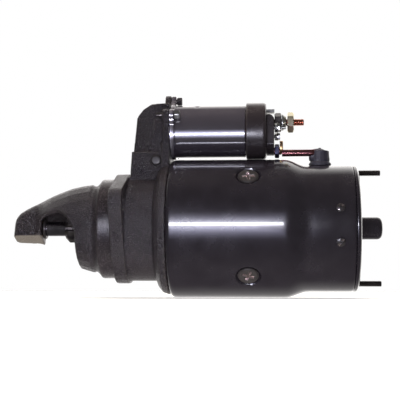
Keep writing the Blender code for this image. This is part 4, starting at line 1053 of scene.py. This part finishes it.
# %% Sky
world = bpy.data.worlds.new("studio")
bpy.context.scene.world = world
world.use_nodes = True
tree = world.node_tree
tree.nodes.clear()
way = tree.nodes.new("ShaderNodeTexCoord")
split = tree.nodes.new("ShaderNodeSeparateXYZ")
tree.links.new(way.outputs["Generated"], split.inputs[0])
behind = spread(tree, split.outputs["Y"], 0.35, 0.85)
rising = maths(tree, "MULTIPLY", spread(tree, split.outputs["Z"], -0.5, 0.1), 0.8)
upper = maths(tree, "ADD", rising, 0.2)
pale = maths(tree, "MULTIPLY", maths(tree, "MULTIPLY", behind, 1.9), upper)
dim = maths(tree, "ADD", pale, 0.10)
soft = tree.nodes.new("ShaderNodeBackground")
tree.links.new(dim, soft.inputs["Strength"])
soft.inputs["Color"].default_value = (1.0, 0.975, 0.955, 1)
white = tree.nodes.new("ShaderNodeBackground")
white.inputs["Color"].default_value = (1, 1, 1, 1)
seen = tree.nodes.new("ShaderNodeLightPath")
choose = tree.nodes.new("ShaderNodeMixShader")
tree.links.new(seen.outputs["Is Camera Ray"], choose.inputs[0])
tree.links.new(soft.outputs[0], choose.inputs[1])
tree.links.new(white.outputs[0], choose.inputs[2])
tree.links.new(choose.outputs[0], tree.nodes.new("ShaderNodeOutputWorld").inputs[0])
bpy.context.scene.view_settings.view_transform = "Standard"
print("sky nodes:", len(tree.nodes))


# %% Lamps
def softbox(name, place, target, size, power, colour, mirrored=True):
    """Rectangular lamp at place, facing target.

    A mirrored lamp shows only in glossy surfaces; any other only lights matt ones.
    """
    lamp = bpy.data.lights.new(name, "AREA")
    lamp.shape = "RECTANGLE"
    lamp.size, lamp.size_y = size
    lamp.energy = power
    lamp.color = colour
    box = bpy.data.objects.new(name, lamp)
    bpy.context.scene.collection.objects.link(box)
    box.location = place
    box.rotation_euler = (Vector(target) - Vector(place)).to_track_quat("-Z", "Y").to_euler()
    box.visible_camera = False
    box.visible_glossy = mirrored
    box.visible_diffuse = not mirrored


softbox("front_strip", (0.050, -0.220, 0.013), (0.050, 0, 0.013), (0.190, 0.014), 0.36,
        (0.94, 0.94, 1.0))
for k, strength in enumerate((0.35, 0.5, 0.8, 1.2, 1.8, 2.6)):
    wide, tall = 0.240 - 0.022 * k, 0.150 - 0.022 * k
    softbox(f"front_glow_{k}", (0.050, -0.230 - 0.004 * k, 0.004), (0.050, 0, 0.004),
            (wide, tall), strength * pi * wide * tall, (0.70, 0.70, 1.0))
softbox("front_fill", (0.05, -1.1, 0.05), (0.07, 0, 0.02), (1.2, 1.0), 5.6,
        (0.97, 0.93, 1.0), False)
softbox("top_warm", (0.02, 0.05, 0.75), (0.05, 0, 0.04), (0.8, 0.5), 8.0,
        (1.0, 0.90, 0.76), False)
softbox("floor_bounce", (0.04, -0.10, -0.45), (0.05, 0, 0.0), (0.7, 0.4), 3.0,
        (1.0, 0.95, 0.88), False)
